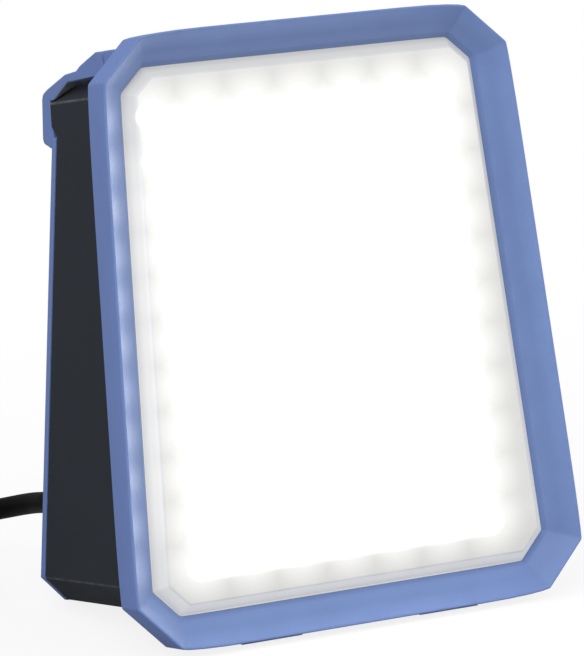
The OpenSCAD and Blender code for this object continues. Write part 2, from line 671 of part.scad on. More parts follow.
// Rocker switch: a body with a flange on the cover, and the rocker on its trunnions
pivot_z = cover_out - 1;
module at_switch() on_rear() translate([switch_x, switch_y, 0]) children();
module switch_body() color(DARK) at_switch() difference() {
    union() {
        translate([-switch_w / 2, -switch_l / 2, cover_out - switch_d])
            cube([switch_w, switch_l, switch_d]);
        translate([-switch_w / 2 - switch_lap, -switch_l / 2 - switch_lap, cover_out])
            cube([switch_w + 2 * switch_lap, switch_l + 2 * switch_lap, 1.8]);
    }
    translate([-rocker_w / 2 - fit, -rocker_l / 2 - 1, pivot_z - 7])
        cube([rocker_w + 2 * fit, rocker_l + 2, 12]);
    translate([-switch_w / 2 + 0.4, 0, pivot_z]) rotate([0, 90, 0])
        cylinder(d = trunnion_d + 2 * running_fit, h = switch_w - 0.8);
}
module switch_rocker() color([0.12, 0.12, 0.13]) at_switch() translate([0, 0, pivot_z]) {
    rotate([rocker_tilt, 0, 0]) translate([-rocker_w / 2, 0, 0]) rotate([90, 0, 90])
        linear_extrude(rocker_w)
        polygon([[-rocker_l / 2, 5], [0, 3.4], [rocker_l / 2, 5], [rocker_l / 2 - 0.4, -0.5],
            [6, -4.5], [-6, -4.5],
            [0.4 - rocker_l / 2, -0.5]]);
    translate([-switch_w / 2 + 0.7, 0, 0]) rotate([0, 90, 0]) cylinder(d = trunnion_d, h = switch_w - 1.4);
}
module switch_tabs() color(BRASS) at_switch() for (y = [-5, 5])
    translate([-3.2, y - 0.4, cover_out - switch_d - 7]) cube([6.4, 0.8, 7]);

// Cable gland: body through the cover, lock nut inside, seal and dome nut outside, and the bend relief
hex_top = cover_out + gland_hex_h;
nut_low = hex_top + fit;
nut_top = nut_low + gland_nut_h;
relief_end = nut_top + relief_l;
gland_bore_d = cable_d + 2 * fit;
seal_d = cable_d + 6;
module at_gland() on_rear() translate([gland_x, gland_y, 0]) children();
module gland_body() color(DARK) at_gland() difference() {
    union() {
        translate([0, 0, cover_in - 9]) cylinder(d = gland_d, h = cover_t + 9);
        translate([0, 0, cover_out]) cylinder(d = gland_hex, h = gland_hex_h, $fn = 6);
        translate([0, 0, hex_top - nip]) cylinder(d = gland_d - 1, h = 5 + nip);
    }
    translate([0, 0, cover_in - 9 - nip]) cylinder(d = gland_bore_d, h = far);
    translate([0, 0, hex_top]) cylinder(d = seal_d + 2 * running_fit, h = far);
}
module gland_locknut() color(DARK) at_gland() difference() {
    translate([0, 0, cover_in - 5]) cylinder(d = gland_hex, h = 5, $fn = 6);
    translate([0, 0, cover_in - 5 - nip]) cylinder(d = gland_d + 2 * running_fit, h = 6 + nip);
}
module gland_seal() color(RUBBER) at_gland() difference() {
    translate([0, 0, hex_top]) cylinder(d = seal_d, h = nut_top - hex_top);
    translate([0, 0, hex_top - nip]) cylinder(d = cable_d + 2 * running_fit, h = far);
}
module gland_nut() color(DARK) at_gland() difference() {
    union() {
        translate([0, 0, nut_low]) cylinder(d = gland_hex, h = gland_nut_h * 0.5, $fn = 6);
        translate([0, 0, nut_low + gland_nut_h * 0.5])
            cylinder(d1 = gland_hex * 0.86, d2 = seal_d + 3, h = gland_nut_h * 0.5);
    }
    translate([0, 0, nut_low - nip]) cylinder(d = seal_d + 2 * running_fit, h = far);
    translate([0, 0, nut_low - nip]) cylinder(d = gland_d - 1 + 2 * running_fit, h = 5.5 - fit + nip);
}
module strain_relief() color(RUBBER) at_gland() {
    translate([0, 0, tail_z]) cylinder(d = cable_d, h = nut_top - tail_z + nip);
    translate([0, 0, nut_top]) cylinder(d1 = seal_d + 1, d2 = cable_d + 2, h = relief_l);
}

// Cable: from the bend relief down to the ground behind the lamp, to a flat coil with its plug
coil_wound = coil_turns + 0.25;
coil_pitch = cable_d + coil_gap;
coil_h = cable_d / 2 + tie_t + 0.2;
coil_outer_r = coil_inner_r + coil_wound / 2 * coil_pitch;
coil_start_y = 230.7;
coil_x = -186;
coil_y = coil_start_y - coil_outer_r;
coil_rings = 24;
function out_of_gland(z) = face_to_world(rear_to_face([gland_x, gland_y, z]));
cable_route = concat([out_of_gland(relief_end + 0.1), out_of_gland(relief_end + 13)],
    [[-66, 149, 33.3], [-67.5, 163, 30.7], [-71, 176.5, 27.6], [-77, 189.5, 24.4],
    [-84.5, 200.5, 21.3], [-94, 210.5, 18.3], [-105, 218.5, 15.6], [-117.5, 224.5, 13],
    [-131, 228.5, 10.6], [-145, 230, 8.4], [-160, 230.6, 6.9]],
    [[coil_x + cable_d, coil_start_y, coil_h]]);
module cable_run() color(RUBBER) tube(cable_route, cable_d, 10, [0, 0, 1]);

// The coil winds in along the ground, climbs one layer in the half turn at its middle, and winds out again
function climb(s) = let (x = min(1, max(0, 2 * (s - coil_wound / 2) + 0.5))) (1 - cos(180 * x)) / 2;
function coil_r(s) = coil_inner_r + abs(s - coil_wound / 2) * coil_pitch;
function coil_point(s) = let (r = coil_r(s), a = 90 + 360 * s)
    [coil_x + r * cos(a), coil_y + r * sin(a), coil_h + climb(s) * coil_pitch];
coil_steps = coil_wound * coil_rings;
coil_line = [for (i = [0:coil_steps]) coil_point(i / coil_rings)];
coil_path = concat([coil_line[0] + [cable_d, 0, 0]], coil_line, [coil_line[coil_steps] - [0, cable_d, 0]]);
coil_least = min([for (i = [0:coil_steps]) for (j = [i + coil_rings / 2:1:coil_steps])
    norm(coil_line[i] - coil_line[j])]) - cable_d;
module cable_coil() color(RUBBER) tube(coil_path, cable_d, 6, [0, 0, 1]);
echo("least gap between turns", coil_least);
echo("cable length", path_length(cable_route) + path_length(coil_path));

// Two straps hold the coil's turns together, each as wide as the turns are where it lies
tie_top = coil_h + coil_pitch + cable_d / 2 + fit;
function tie_radii(a) = [for (s = [(a - 90) / 360:1:coil_wound]) for (w = [-1, 1])
    coil_r(min(coil_wound, s + w * tie_w / (4 * PI * coil_inner_r)))];
module coil_ties() color([0.15, 0.15, 0.16])
    for (a = [290, 390]) translate([coil_x, coil_y, 0]) rotate([0, 0, a])
    let (tie_in = min(tie_radii(a)) - cable_d / 2 - 2 * fit,
        tie_out = max(tie_radii(a)) + cable_d / 2 + fit)
    difference() {
        translate([tie_in - tie_t, -tie_w / 2, 0])
            cube([tie_out - tie_in + 2 * tie_t, tie_w, tie_top + tie_t]);
        translate([tie_in, -tie_w / 2 - nip, tie_t])
            cube([tie_out - tie_in, tie_w + 2 * nip, tie_top - tie_t]);
    }

// Plug on the coil's upper end: rubber body with two flats, bend relief, pins and side earth contacts
plug_z = coil_h + coil_pitch;
plug_flat = 2 * plug_z - 0.6;
plug_gap = 0.1;
module at_plug() translate([coil_x - coil_outer_r, coil_y - cable_d - plug_gap, plug_z])
    rotate([90, 0, 0]) rotate([0, 0, 90]) children();
module plug_body() color(RUBBER) at_plug() {
    cylinder(d1 = cable_d + 2, d2 = cable_d + 8, h = plug_relief_l + nip);
    difference() {
        intersection() {
            translate([0, 0, plug_relief_l]) cylinder(d = plug_d, h = plug_l);
            translate([-plug_flat / 2, -plug_d, 0]) cube([plug_flat, 2 * plug_d, far]);
        }
        for (s = [-1, 1]) translate([0, s * 9.5, plug_relief_l + plug_l - 8]) cylinder(d = 4.8, h = 9);
        for (s = [-1, 1]) translate([s * plug_flat / 2 - 2, -4, plug_relief_l + plug_l - 14])
            cube([4, 8, 15]);
    }
}
module plug_pins() color(BRASS) at_plug() for (s = [-1, 1])
    translate([0, s * 9.5, plug_relief_l + plug_l - 8]) cylinder(d = 4.8 - 2 * running_fit, h = 27);
module plug_earth_clips() color(BRASS) at_plug() for (s = [-1, 1])
    translate([s * (plug_flat / 2 - 1.2) - 0.6, -4 + running_fit,
        plug_relief_l + plug_l - 14 + running_fit])
        cube([1.2, 8 - 2 * running_fit, 13]);

front_frame();
lens();
lens_gasket();
frame_screws();
housing();
front_feet();
rear_feet();
heat_sink();
led_board();
leds();
sink_screws();
rear_cover();
cover_gasket();
cover_screws();
vent_plug();
driver_case();
driver_screws();
terminal_block();
terminal_screws();
live_lead();
neutral_lead();
earth_lead();
led_leads();
switch_body();
switch_rocker();
switch_tabs();
handle();
handle_pins();
hinge_caps();
gland_body();
gland_locknut();
gland_seal();
gland_nut();
strain_relief();
cable_run();
cable_coil();
coil_ties();
plug_body();
plug_pins();
plug_earth_clips();
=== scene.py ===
import math
import bmesh
import bpy
from mathutils import Matrix, Vector


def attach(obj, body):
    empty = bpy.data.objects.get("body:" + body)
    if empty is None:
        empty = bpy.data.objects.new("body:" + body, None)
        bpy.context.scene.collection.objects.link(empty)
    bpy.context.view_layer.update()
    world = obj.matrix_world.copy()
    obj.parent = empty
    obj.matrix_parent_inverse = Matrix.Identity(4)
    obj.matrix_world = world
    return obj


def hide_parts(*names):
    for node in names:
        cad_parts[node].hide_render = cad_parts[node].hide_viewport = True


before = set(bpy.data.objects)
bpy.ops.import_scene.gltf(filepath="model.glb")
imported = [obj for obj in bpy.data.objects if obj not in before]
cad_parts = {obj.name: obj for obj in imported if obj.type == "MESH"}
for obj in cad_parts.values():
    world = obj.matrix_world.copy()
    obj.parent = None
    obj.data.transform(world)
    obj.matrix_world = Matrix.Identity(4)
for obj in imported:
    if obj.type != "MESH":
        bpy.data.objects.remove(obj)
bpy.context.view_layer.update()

# The camera stands to the left of the lamp, a little above it, at two metres with a long lens. Its place and
# turn are given on the lamp's face, which leans back: in millimetres from the middle of the face, u to the
# right, v up it and n out of it.
CAMERA_AT = (-827.583, 90.68, 1696.89)
CAMERA_UP, CAMERA_BACK = (0.1193, 0.9928, 0.0032), (-0.4278, 0.0485, 0.9025)
LEAN = math.radians(6.64633)
FACE_Y, FACE_Z = -58.9725, 139.019


def turned(u, v, n):
    """A direction on the face, in the row frame."""
    return Vector((u, v * math.sin(LEAN) - n * math.cos(LEAN), v * math.cos(LEAN) + n * math.sin(LEAN)))


def on_face(u, v, n):
    """A place on the face, in the row frame, in metres."""
    return (turned(u, v, n) + Vector((0, FACE_Y, FACE_Z))) / 1000


camera_data = bpy.data.cameras.new("camera")
camera_data.lens, camera_data.sensor_width = 230.75, 36
camera_data.clip_start, camera_data.clip_end = 0.05, 100
camera = bpy.data.objects.new("camera", camera_data)
back = turned(*CAMERA_BACK).normalized()
right = turned(*CAMERA_UP).cross(back).normalized()
camera.matrix_world = (Matrix.Translation(on_face(*CAMERA_AT))
                       @ Matrix((right, back.cross(right), back)).transposed().to_4x4())
bpy.context.scene.collection.objects.link(camera)
bpy.context.scene.camera = camera

# The studio: a pale floor that turns white away from the lamp, a white surround, one broad soft light
# from the upper left and a weaker one from the right.
bpy.context.scene.view_settings.view_transform = "Standard"
AMBIENT = 0.67
FLOOR_TONE, FLOOR_SEEN, FLOOR_SHADE = 0.44, 0.95, 0.85
WHITER_FROM, WHITER_TO = 0.25, 0.9
FLOOR_REACH, FLOOR_LEVEL = 14, -0.0003
STUDIO_LIGHTS = (("key_light", (-1.1, -1.9, 1.9), 1.8, 30), ("fill_light", (2.0, -0.9, 1.1), 1.6, 10))
AIMED_AT = Vector((0, 0, 0.14))


def node(tree, kind, **sockets):
    """A new node, with its inputs set or linked by name or number."""
    made = tree.nodes.new(kind)
    for name, value in sockets.items():
        by_number = name[0] == "i" and name[1:].isdigit()
        socket = made.inputs[int(name[1:]) if by_number else name.replace("_", " ")]
        if isinstance(value, bpy.types.NodeSocket):
            tree.links.new(value, socket)
        else:
            socket.default_value = value
    return made


def maths(tree, operation, *values):
    """A math node's result."""
    made = tree.nodes.new("ShaderNodeMath")
    made.operation = operation
    for socket, value in zip(made.inputs, values):
        if isinstance(value, bpy.types.NodeSocket):
            tree.links.new(value, socket)
        else:
            socket.default_value = value
    return made.outputs[0]


def ramp(tree, value, start, end, first, last):
    """A straight ramp from first to last, while the value goes from start to end."""
    return node(tree, "ShaderNodeMapRange", Value=value, From_Min=start, From_Max=end,
                To_Min=first, To_Max=last).outputs[0]


def seen_directly(tree):
    """1 for the rays that show the surround: straight from the camera, mirrored, or through glass."""
    path = tree.nodes.new("ShaderNodeLightPath").outputs
    return maths(tree, "MAXIMUM", maths(tree, "MAXIMUM", path["Is Camera Ray"], path["Is Glossy Ray"]),
                 path["Is Transmission Ray"])


surround = bpy.data.worlds.new("white_surround")
bpy.context.scene.world = surround
surround.use_nodes = True
surround.node_tree.nodes.clear()
dim = node(surround.node_tree, "ShaderNodeBackground", Color=(1, 1, 1, 1), Strength=AMBIENT)
white = node(surround.node_tree, "ShaderNodeBackground", Color=(1, 1, 1, 1), Strength=1)
mixed = node(surround.node_tree, "ShaderNodeMixShader", i0=seen_directly(surround.node_tree),
             i1=dim.outputs[0], i2=white.outputs[0])
node(surround.node_tree, "ShaderNodeOutputWorld", Surface=mixed.outputs[0])

floor_paint = bpy.data.materials.new("pale_floor")
floor_paint.use_nodes = True
tree = floor_paint.node_tree
tree.nodes.clear()
place = tree.nodes.new("ShaderNodeTexCoord").outputs["Object"]
away = node(tree, "ShaderNodeVectorMath", i0=place)
away.operation = "LENGTH"
whiter = ramp(tree, away.outputs["Value"], WHITER_FROM, WHITER_TO, FLOOR_SHADE, 1)
paint = ramp(tree, seen_directly(tree), 0, 1, FLOOR_TONE, FLOOR_SEEN)
painted = node(tree, "ShaderNodeBsdfDiffuse", Color=paint)
glowing = node(tree, "ShaderNodeEmission", Color=(1, 1, 1, 1), Strength=1)
mixed = node(tree, "ShaderNodeMixShader", i0=maths(tree, "MULTIPLY", seen_directly(tree), whiter),
             i1=painted.outputs[0], i2=glowing.outputs[0])
node(tree, "ShaderNodeOutputMaterial", Surface=mixed.outputs[0])
floor_mesh = bpy.data.meshes.new("floor")
floor_mesh.from_pydata([(x * FLOOR_REACH, y * FLOOR_REACH, FLOOR_LEVEL)
                        for x, y in ((-1, -1), (1, -1), (1, 1), (-1, 1))], [], [(0, 1, 2, 3)])
floor_mesh.materials.append(floor_paint)
floor = bpy.data.objects.new("floor", floor_mesh)
bpy.context.scene.collection.objects.link(floor)

for name, spot, size, watts in STUDIO_LIGHTS:
    light_data = bpy.data.lights.new(name, "AREA")
    light_data.shape, light_data.size, light_data.energy = "DISK", size, watts
    light = bpy.data.objects.new(name, light_data)
    light.location = spot
    light.rotation_euler = (AIMED_AT - Vector(spot)).to_track_quat("-Z", "Y").to_euler()
    bpy.context.scene.collection.objects.link(light)

# The mains cable: three cores in a thick black rubber jacket, extruded smooth. It leaves the bend relief,
# drops to the floor behind the lamp and is wound in two layers into a storage coil, held by two straps.
CABLE_D = 10.5
WEDGE, REAR_DEPTH = math.radians(13.5), 114
GLAND_X, GLAND_Y = 66, -100
NUT_TOP, RELIEF_END = 26.8, 56.8
COIL_TURNS, COIL_INNER_R, COIL_PITCH, COIL_LOW, COIL_RINGS = 7.25, 42.5, 11.2, 6.45, 24
COIL_OUTER_R = COIL_INNER_R + COIL_TURNS / 2 * COIL_PITCH
COIL_X, COIL_Y = -186, 230.7 - COIL_OUTER_R
CABLE_BEND = [(-66, 149, 33.3), (-67.5, 163, 30.7), (-71, 176.5, 27.6), (-77, 189.5, 24.4),
              (-84.5, 200.5, 21.3), (-94, 210.5, 18.3), (-105, 218.5, 15.6), (-117.5, 224.5, 13),
              (-131, 228.5, 10.6), (-145, 230, 8.4), (-160, 230.6, 6.9),
              (COIL_X + CABLE_D, COIL_Y + COIL_OUTER_R, COIL_LOW)]


def on_back(x, y, z):
    """A place on the back cover, in the row frame, in metres; x is to the left, y up the cover, z out of it."""
    return on_face(-x, y * math.cos(WEDGE) + z * math.sin(WEDGE),
                   y * math.sin(WEDGE) - z * math.cos(WEDGE) - REAR_DEPTH)


def coil_place(turn):
    """The coil's centreline: in along the floor, up one layer in the middle half turn, and out again."""
    rise = (1 - math.cos(math.pi * min(1, max(0, 2 * (turn - COIL_TURNS / 2) + 0.5)))) / 2
    radius, angle = COIL_INNER_R + abs(turn - COIL_TURNS / 2) * COIL_PITCH, math.radians(90 + 360 * turn)
    return Vector((COIL_X + radius * math.cos(angle), COIL_Y + radius * math.sin(angle),
                   COIL_LOW + rise * COIL_PITCH)) / 1000


coil_line = [coil_place(i / COIL_RINGS) for i in range(round(COIL_TURNS * COIL_RINGS) + 1)]
cable_line = ([on_back(GLAND_X, GLAND_Y, z) for z in (NUT_TOP + 3, NUT_TOP + 16, RELIEF_END, RELIEF_END + 13)]
              + [Vector(p) / 1000 for p in CABLE_BEND] + coil_line
              + [coil_line[-1] - Vector((0, CABLE_D / 1000, 0))])
cable_curve = bpy.data.curves.new("cable", "CURVE")
cable_curve.dimensions, cable_curve.resolution_u = "3D", 4
cable_curve.bevel_depth, cable_curve.bevel_resolution, cable_curve.use_fill_caps = CABLE_D / 2000, 6, True
spline = cable_curve.splines.new("BEZIER")
spline.bezier_points.add(len(cable_line) - 1)
for point, spot in zip(spline.bezier_points, cable_line):
    point.co, point.handle_left_type, point.handle_right_type = spot, "AUTO", "AUTO"
cable = bpy.data.objects.new("cable", cable_curve)
bpy.context.scene.collection.objects.link(cable)


def finish_of(name, colour, roughness, specular=0.5, metallic=0.0, patch=0.06, patch_size=18, grain=0.0,
              grain_size=0.5, rub_and_highlight=0.0, rub_and_highlight_colour=None, ior=1.5):
    """A material with soft patches of tone, a fine moulded or drawn grain, and paler edges, partly wear and
    partly painted highlight lines. Sizes are in millimetres; grain is the grain's height and rub_and_highlight
    how far the edges go to rub_and_highlight_colour."""
    made = bpy.data.materials.new(name)
    made.use_nodes = True
    tree = made.node_tree
    shader = tree.nodes["Principled BSDF"]
    shader.inputs["Metallic"].default_value = metallic
    shader.inputs["Specular IOR Level"].default_value = specular
    shader.inputs["IOR"].default_value = ior
    place = tree.nodes.new("ShaderNodeTexCoord").outputs["Object"]
    clouds = node(tree, "ShaderNodeTexNoise", Vector=place, Scale=1000 / patch_size, Detail=3.0, Roughness=0.6)
    shade = ramp(tree, clouds.outputs[0], 0.3, 0.7, 1 - patch, 1 + patch)
    tone = node(tree, "ShaderNodeVectorMath", i0=colour, i1=shade)
    tone.operation = "MULTIPLY"
    shown = tone.outputs[0]
    # Pale edges: the bevel strips' mask, made patchy by noise, mixes in a paler colour; partly wear, partly
    # painted highlight lines along the edges.
    if rub_and_highlight:
        wear_and_highlight_noise = node(tree, "ShaderNodeTexNoise", Vector=place, Scale=1000 / 6, Detail=4.0, Roughness=0.65)
        edge = tree.nodes.new("ShaderNodeAttribute")
        edge.attribute_name = "edge_rub_and_highlight"
        patchy = ramp(tree, wear_and_highlight_noise.outputs[0], 0.35, 0.65, 0.35, 1)
        rubbed_and_highlit = maths(tree, "MULTIPLY", maths(tree, "MULTIPLY", edge.outputs["Fac"], patchy), rub_and_highlight)
        mix = tree.nodes.new("ShaderNodeMix")
        mix.data_type = "RGBA"
        tree.links.new(rubbed_and_highlit, mix.inputs[0])
        tree.links.new(shown, mix.inputs[6])
        mix.inputs[7].default_value = (*rub_and_highlight_colour, 1)
        shown = mix.outputs[2]
    tree.links.new(shown, shader.inputs["Base Color"])
    dull = ramp(tree, clouds.outputs[0], 0.3, 0.7, max(0.02, roughness - 0.05), min(1, roughness + 0.05))
    tree.links.new(dull, shader.inputs["Roughness"])
    if grain:
        fine = node(tree, "ShaderNodeTexNoise", Vector=place, Scale=1000 / grain_size, Detail=2.0,
                    Roughness=0.5)
        bump = node(tree, "ShaderNodeBump", Height=fine.outputs[0], Strength=0.5, Distance=grain / 1000)
        tree.links.new(bump.outputs[0], shader.inputs["Normal"])
    return made


jacket_rubber = finish_of("jacket_rubber", (0.0028, 0.0028, 0.0034), 0.62, specular=0.03, patch=0.2,
                          patch_size=9, grain=0.05, grain_size=0.7)
cable_curve.materials.append(jacket_rubber)
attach(cable, "lamp")
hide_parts("cable_run", "cable_coil")

# The bend relief: a moulded rubber sleeve round the cable where it leaves the gland, ribbed so that it bends
# evenly, and tapered to the cable's own thickness.


def new_piece(name, mesh, material):
    """An object at the origin with that mesh and material."""
    mesh.materials.append(material)
    piece = bpy.data.objects.new(name, mesh)
    bpy.context.scene.collection.objects.link(piece)
    return piece


def turned_mesh(name, profile, place, steps, across=None):
    """A shape turned about its own axis from (along, radius) pairs; place(x, y, z) puts it in the row frame.
    across(angle, along) limits the radius, for flats and hexagons. A flat face closes each end."""
    made = bmesh.new()
    rings = []
    for along, radius in profile:
        ring = []
        for k in range(steps):
            angle = 2 * math.pi * k / steps
            r = min(radius, across(angle, along)) if across else radius
            ring.append(made.verts.new(place(r * math.cos(angle), r * math.sin(angle), along)))
        rings.append(ring)
    for low, high in zip(rings, rings[1:]):
        for k in range(steps):
            made.faces.new((low[k], low[(k + 1) % steps], high[(k + 1) % steps], high[k]))
    made.faces.new(rings[0][::-1])
    made.faces.new(rings[-1])
    return closed_mesh(name, made, 32)


def closed_mesh(name, made, crease):
    """The finished mesh: doubles merged, faces outward, smooth but for edges sharper than crease degrees."""
    bmesh.ops.remove_doubles(made, verts=made.verts, dist=2e-6)
    bmesh.ops.recalc_face_normals(made, faces=made.faces)
    mesh = bpy.data.meshes.new(name)
    made.to_mesh(mesh)
    made.free()
    mesh.shade_smooth()
    mesh.set_sharp_from_angle(angle=math.radians(crease))
    return mesh


def at_gland(x, y, z):
    return on_back(GLAND_X + x, GLAND_Y + y, z)


RELIEF_RIBS, RELIEF_PITCH, RELIEF_START = 6, 4.5, 1.5
RELIEF_WIDE, RELIEF_TAPER = 8.7, 2.3
relief_profile = [(NUT_TOP + 0.2, 8.0), (NUT_TOP + 0.5, 8.6)]
for rib in range(RELIEF_RIBS):
    start = NUT_TOP + RELIEF_START + rib * RELIEF_PITCH
    radius = RELIEF_WIDE - RELIEF_TAPER * (start - NUT_TOP) / (RELIEF_END - NUT_TOP)
    relief_profile += [(start, radius), (start + 0.4, radius + 0.12), (start + 2.5, radius),
                       (start + 2.9, radius - 0.4), (start + 3.1, radius - 1.1), (start + 4.2, radius - 1.2),
                       (start + 4.4, radius - 0.55)]
relief_profile += [(RELIEF_END - 0.5, 6.3), (RELIEF_END - 0.1, 6.05), (RELIEF_END, 5.7), (RELIEF_END, 5.3)]
bend_relief = new_piece("bend_relief", turned_mesh("bend_relief", relief_profile, at_gland, 56), jacket_rubber)
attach(bend_relief, "lamp")
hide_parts("strain_relief")

# The cable gland: a hexagon body screwed through the cover and a dome nut that squeezes a rubber seal onto
# the cable. Both are moulded in dark polyamide, with corners turned off on the hexagons.
GLAND_HEX_R, GLAND_DOME_H = 13.5, 7.5


def hexagon(corner, end=99):
    """A limit for a turned shape: a hexagon of that corner radius, up to a height."""
    def across(angle, along):
        flat = corner * math.cos(math.pi / 6) / math.cos((angle + math.pi / 6) % (math.pi / 3) - math.pi / 6)
        return flat if along < end else 2 * corner
    return across


gland_nylon = finish_of("gland_nylon", (0.012, 0.0125, 0.0135), 0.42, specular=0.28, patch=0.12, grain=0.03,
                        grain_size=0.4)
GLAND_BASE_PROFILE = [(-8, 9.0), (-7.6, 9.9), (5.4, 9.9), (5.5, 12.2), (5.9, 13.2), (6.5, 13.5), (10.5, 13.5),
                      (11.1, 13.2), (11.5, 12.2), (11.5, 9.4), (16.2, 9.4)]
GLAND_CAP_PROFILE = [(11.9, 9.0), (11.9, 12.2), (12.3, 13.2), (12.9, 13.5), (18.3, 13.5), (18.9, 13.1),
                     (19.3, 12.2), (19.5, 11.6), (20.1, 11.5), (22.6, 10.9), (24.6, 10.2), (26.0, 9.6),
                     (26.6, 9.1), (26.8, 8.6), (26.8, 8.3)]
gland_base = new_piece("gland_base", turned_mesh("gland_base", GLAND_BASE_PROFILE, at_gland, 96,
                                                 hexagon(GLAND_HEX_R)), gland_nylon)
gland_cap = new_piece("gland_cap", turned_mesh("gland_cap", GLAND_CAP_PROFILE, at_gland, 96,
                                               hexagon(GLAND_HEX_R, NUT_TOP - GLAND_DOME_H)), gland_nylon)
for piece, cad_node in ((gland_base, "gland_body"), (gland_cap, "gland_nut")):
    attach(piece, "lamp")
    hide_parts(cad_node)

# The coil straps: two hook-and-loop bands, woven from black yarn, that go round all the turns of the coil.
# Each is closed by a tab that is pressed onto its top.
STRAP_W, STRAP_T, STRAP_TOP, STRAP_LIP = 14, 1, 23.2, 0.3
TAB_FROM, TAB_TO, TAB_INSET = 10, 36, 0.6
STRAPS = ((290, 37.13, 82.72), (30, 38.69, 84.28))


def rounded_box_line(low_a, low_b, high_a, high_b, radius, steps=6):
    """A closed line round a rounded box in two directions."""
    line = []
    right_a, left_a, top_b, bottom_b = high_a - radius, low_a + radius, high_b - radius, low_b + radius
    for centre_a, centre_b, start in ((right_a, top_b, 0), (left_a, top_b, 90), (left_a, bottom_b, 180),
                                      (right_a, bottom_b, 270)):
        for k in range(steps + 1):
            angle = math.radians(start + 90 * k / steps)
            line.append((centre_a + radius * math.cos(angle), centre_b + radius * math.sin(angle)))
    return line


strap_shape = bmesh.new()
for turn, strap_in, strap_out in STRAPS:
    angle = math.radians(turn)

    def on_strap(along, side, up):
        return Vector((COIL_X + along * math.cos(angle) - side * math.sin(angle),
                       COIL_Y + along * math.sin(angle) + side * math.cos(angle), up)) / 1000

    outer = rounded_box_line(strap_in - STRAP_T, 0, strap_out + STRAP_T, STRAP_TOP + STRAP_T, 5.5)
    inner = rounded_box_line(strap_in, STRAP_T, strap_out, STRAP_TOP, 4.5)
    half, lip = STRAP_W / 2, STRAP_LIP
    sections = []
    for (a, b), (c, d) in zip(outer, inner):
        away = Vector((a - c, b - d)).normalized() * lip
        sections.append([strap_shape.verts.new(on_strap(x, y, z)) for x, y, z in (
            (c, -half, d), (a - away.x, -half, b - away.y), (a, lip - half, b), (a, half - lip, b),
            (a - away.x, half, b - away.y), (c, half, d))])
    for this, following in zip(sections, sections[1:] + sections[:1]):
        for k in range(6):
            strap_shape.faces.new((this[k], this[(k + 1) % 6], following[(k + 1) % 6], following[k]))
    tab = rounded_box_line(strap_in + TAB_FROM, TAB_INSET - half, strap_in + TAB_TO, half - TAB_INSET, 3)
    tab_middle = strap_in + (TAB_FROM + TAB_TO) / 2
    levels = [[strap_shape.verts.new(on_strap(tab_middle + (x - tab_middle) * share, y * share, STRAP_TOP + z))
               for x, y in tab] for share, z in ((1, 0.7), (1, 1.5), (0.97, 1.8))]
    for low, high in zip(levels, levels[1:]):
        for k in range(len(tab)):
            strap_shape.faces.new((low[k], low[(k + 1) % len(tab)], high[(k + 1) % len(tab)], high[k]))
    strap_shape.faces.new(levels[0][::-1])
    strap_shape.faces.new(levels[-1])
strap_weave = finish_of("strap_weave", (0.02, 0.02, 0.022), 0.85, specular=0.2, patch=0.25, patch_size=3,
                        grain=0.3, grain_size=0.9)
coil_straps = new_piece("coil_straps", closed_mesh("coil_straps", strap_shape, 35), strap_weave)
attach(coil_straps, "lamp")
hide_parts("coil_ties")

# The plug: a rubber moulding with a ribbed bend relief, two flats, and grip rings round its body. Two turned
# brass pins stand out of its face, and an earth spring lies in each flat.
PLUG_X, PLUG_Y, PLUG_Z = COIL_X - COIL_OUTER_R, COIL_Y - CABLE_D - 0.1, COIL_LOW + COIL_PITCH
PLUG_FLAT, PLUG_R, PLUG_RELIEF, PLUG_FACE = 17.35, 18.5, 46, 88
PLUG_RIBS, PLUG_RIB_PITCH = 8, 5
GRIP_RINGS, GRIP_START, GRIP_PITCH = 4, 57, 4
PIN_APART, PIN_R = 9.5, 2.35
PIN_PROFILE = [(80.2, 2.0), (80.2, PIN_R), (104.2, PIN_R), (105.4, 2.2), (106.3, 1.8), (106.8, 1.2), (107, 0.5)]


def at_plug(x, y, z):
    return Vector((PLUG_X - y, PLUG_Y - z, PLUG_Z + x)) / 1000


def plug_flats(angle, along):
    return PLUG_FLAT / max(1e-6, abs(math.cos(angle))) if along > PLUG_RELIEF else 99


plug_profile = [(0, 5.4), (0, 6.0), (0.5, 6.25)]
for rib in range(PLUG_RIBS):
    start, radius = 2 + rib * PLUG_RIB_PITCH, 6.4 + 2.6 * rib / PLUG_RIBS
    plug_profile += [(start, radius), (start + 2.8, radius + 0.2), (start + 3.1, radius - 0.2),
                     (start + 3.3, radius - 0.9), (start + 4.6, radius - 0.8), (start + 4.8, radius)]
plug_profile += [(44, 9.2), (46, 10.2), (47.2, 12.2), (48.6, 14.6), (50.4, 16.6), (52.6, 17.9), (55, 18.4)]
for ring in range(GRIP_RINGS):
    start = GRIP_START + ring * GRIP_PITCH
    plug_profile += [(start, PLUG_R), (start + 1.6, PLUG_R), (start + 1.9, 18.1), (start + 2.1, 17.2),
                     (start + 3.3, 17.2), (start + 3.6, 18.1)]
plug_profile += [(74, PLUG_R), (86.4, PLUG_R), (87.4, 18.2), (87.9, 17.6), (PLUG_FACE, 16.8)]
plug_rubber = finish_of("plug_rubber", (0.007, 0.007, 0.0078), 0.5, specular=0.3, patch=0.2, patch_size=9,
                        grain=0.06, grain_size=0.6)
plug = new_piece("plug", turned_mesh("plug", plug_profile, at_plug, 72, plug_flats), plug_rubber)
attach(plug, "lamp")
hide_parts("plug_body")

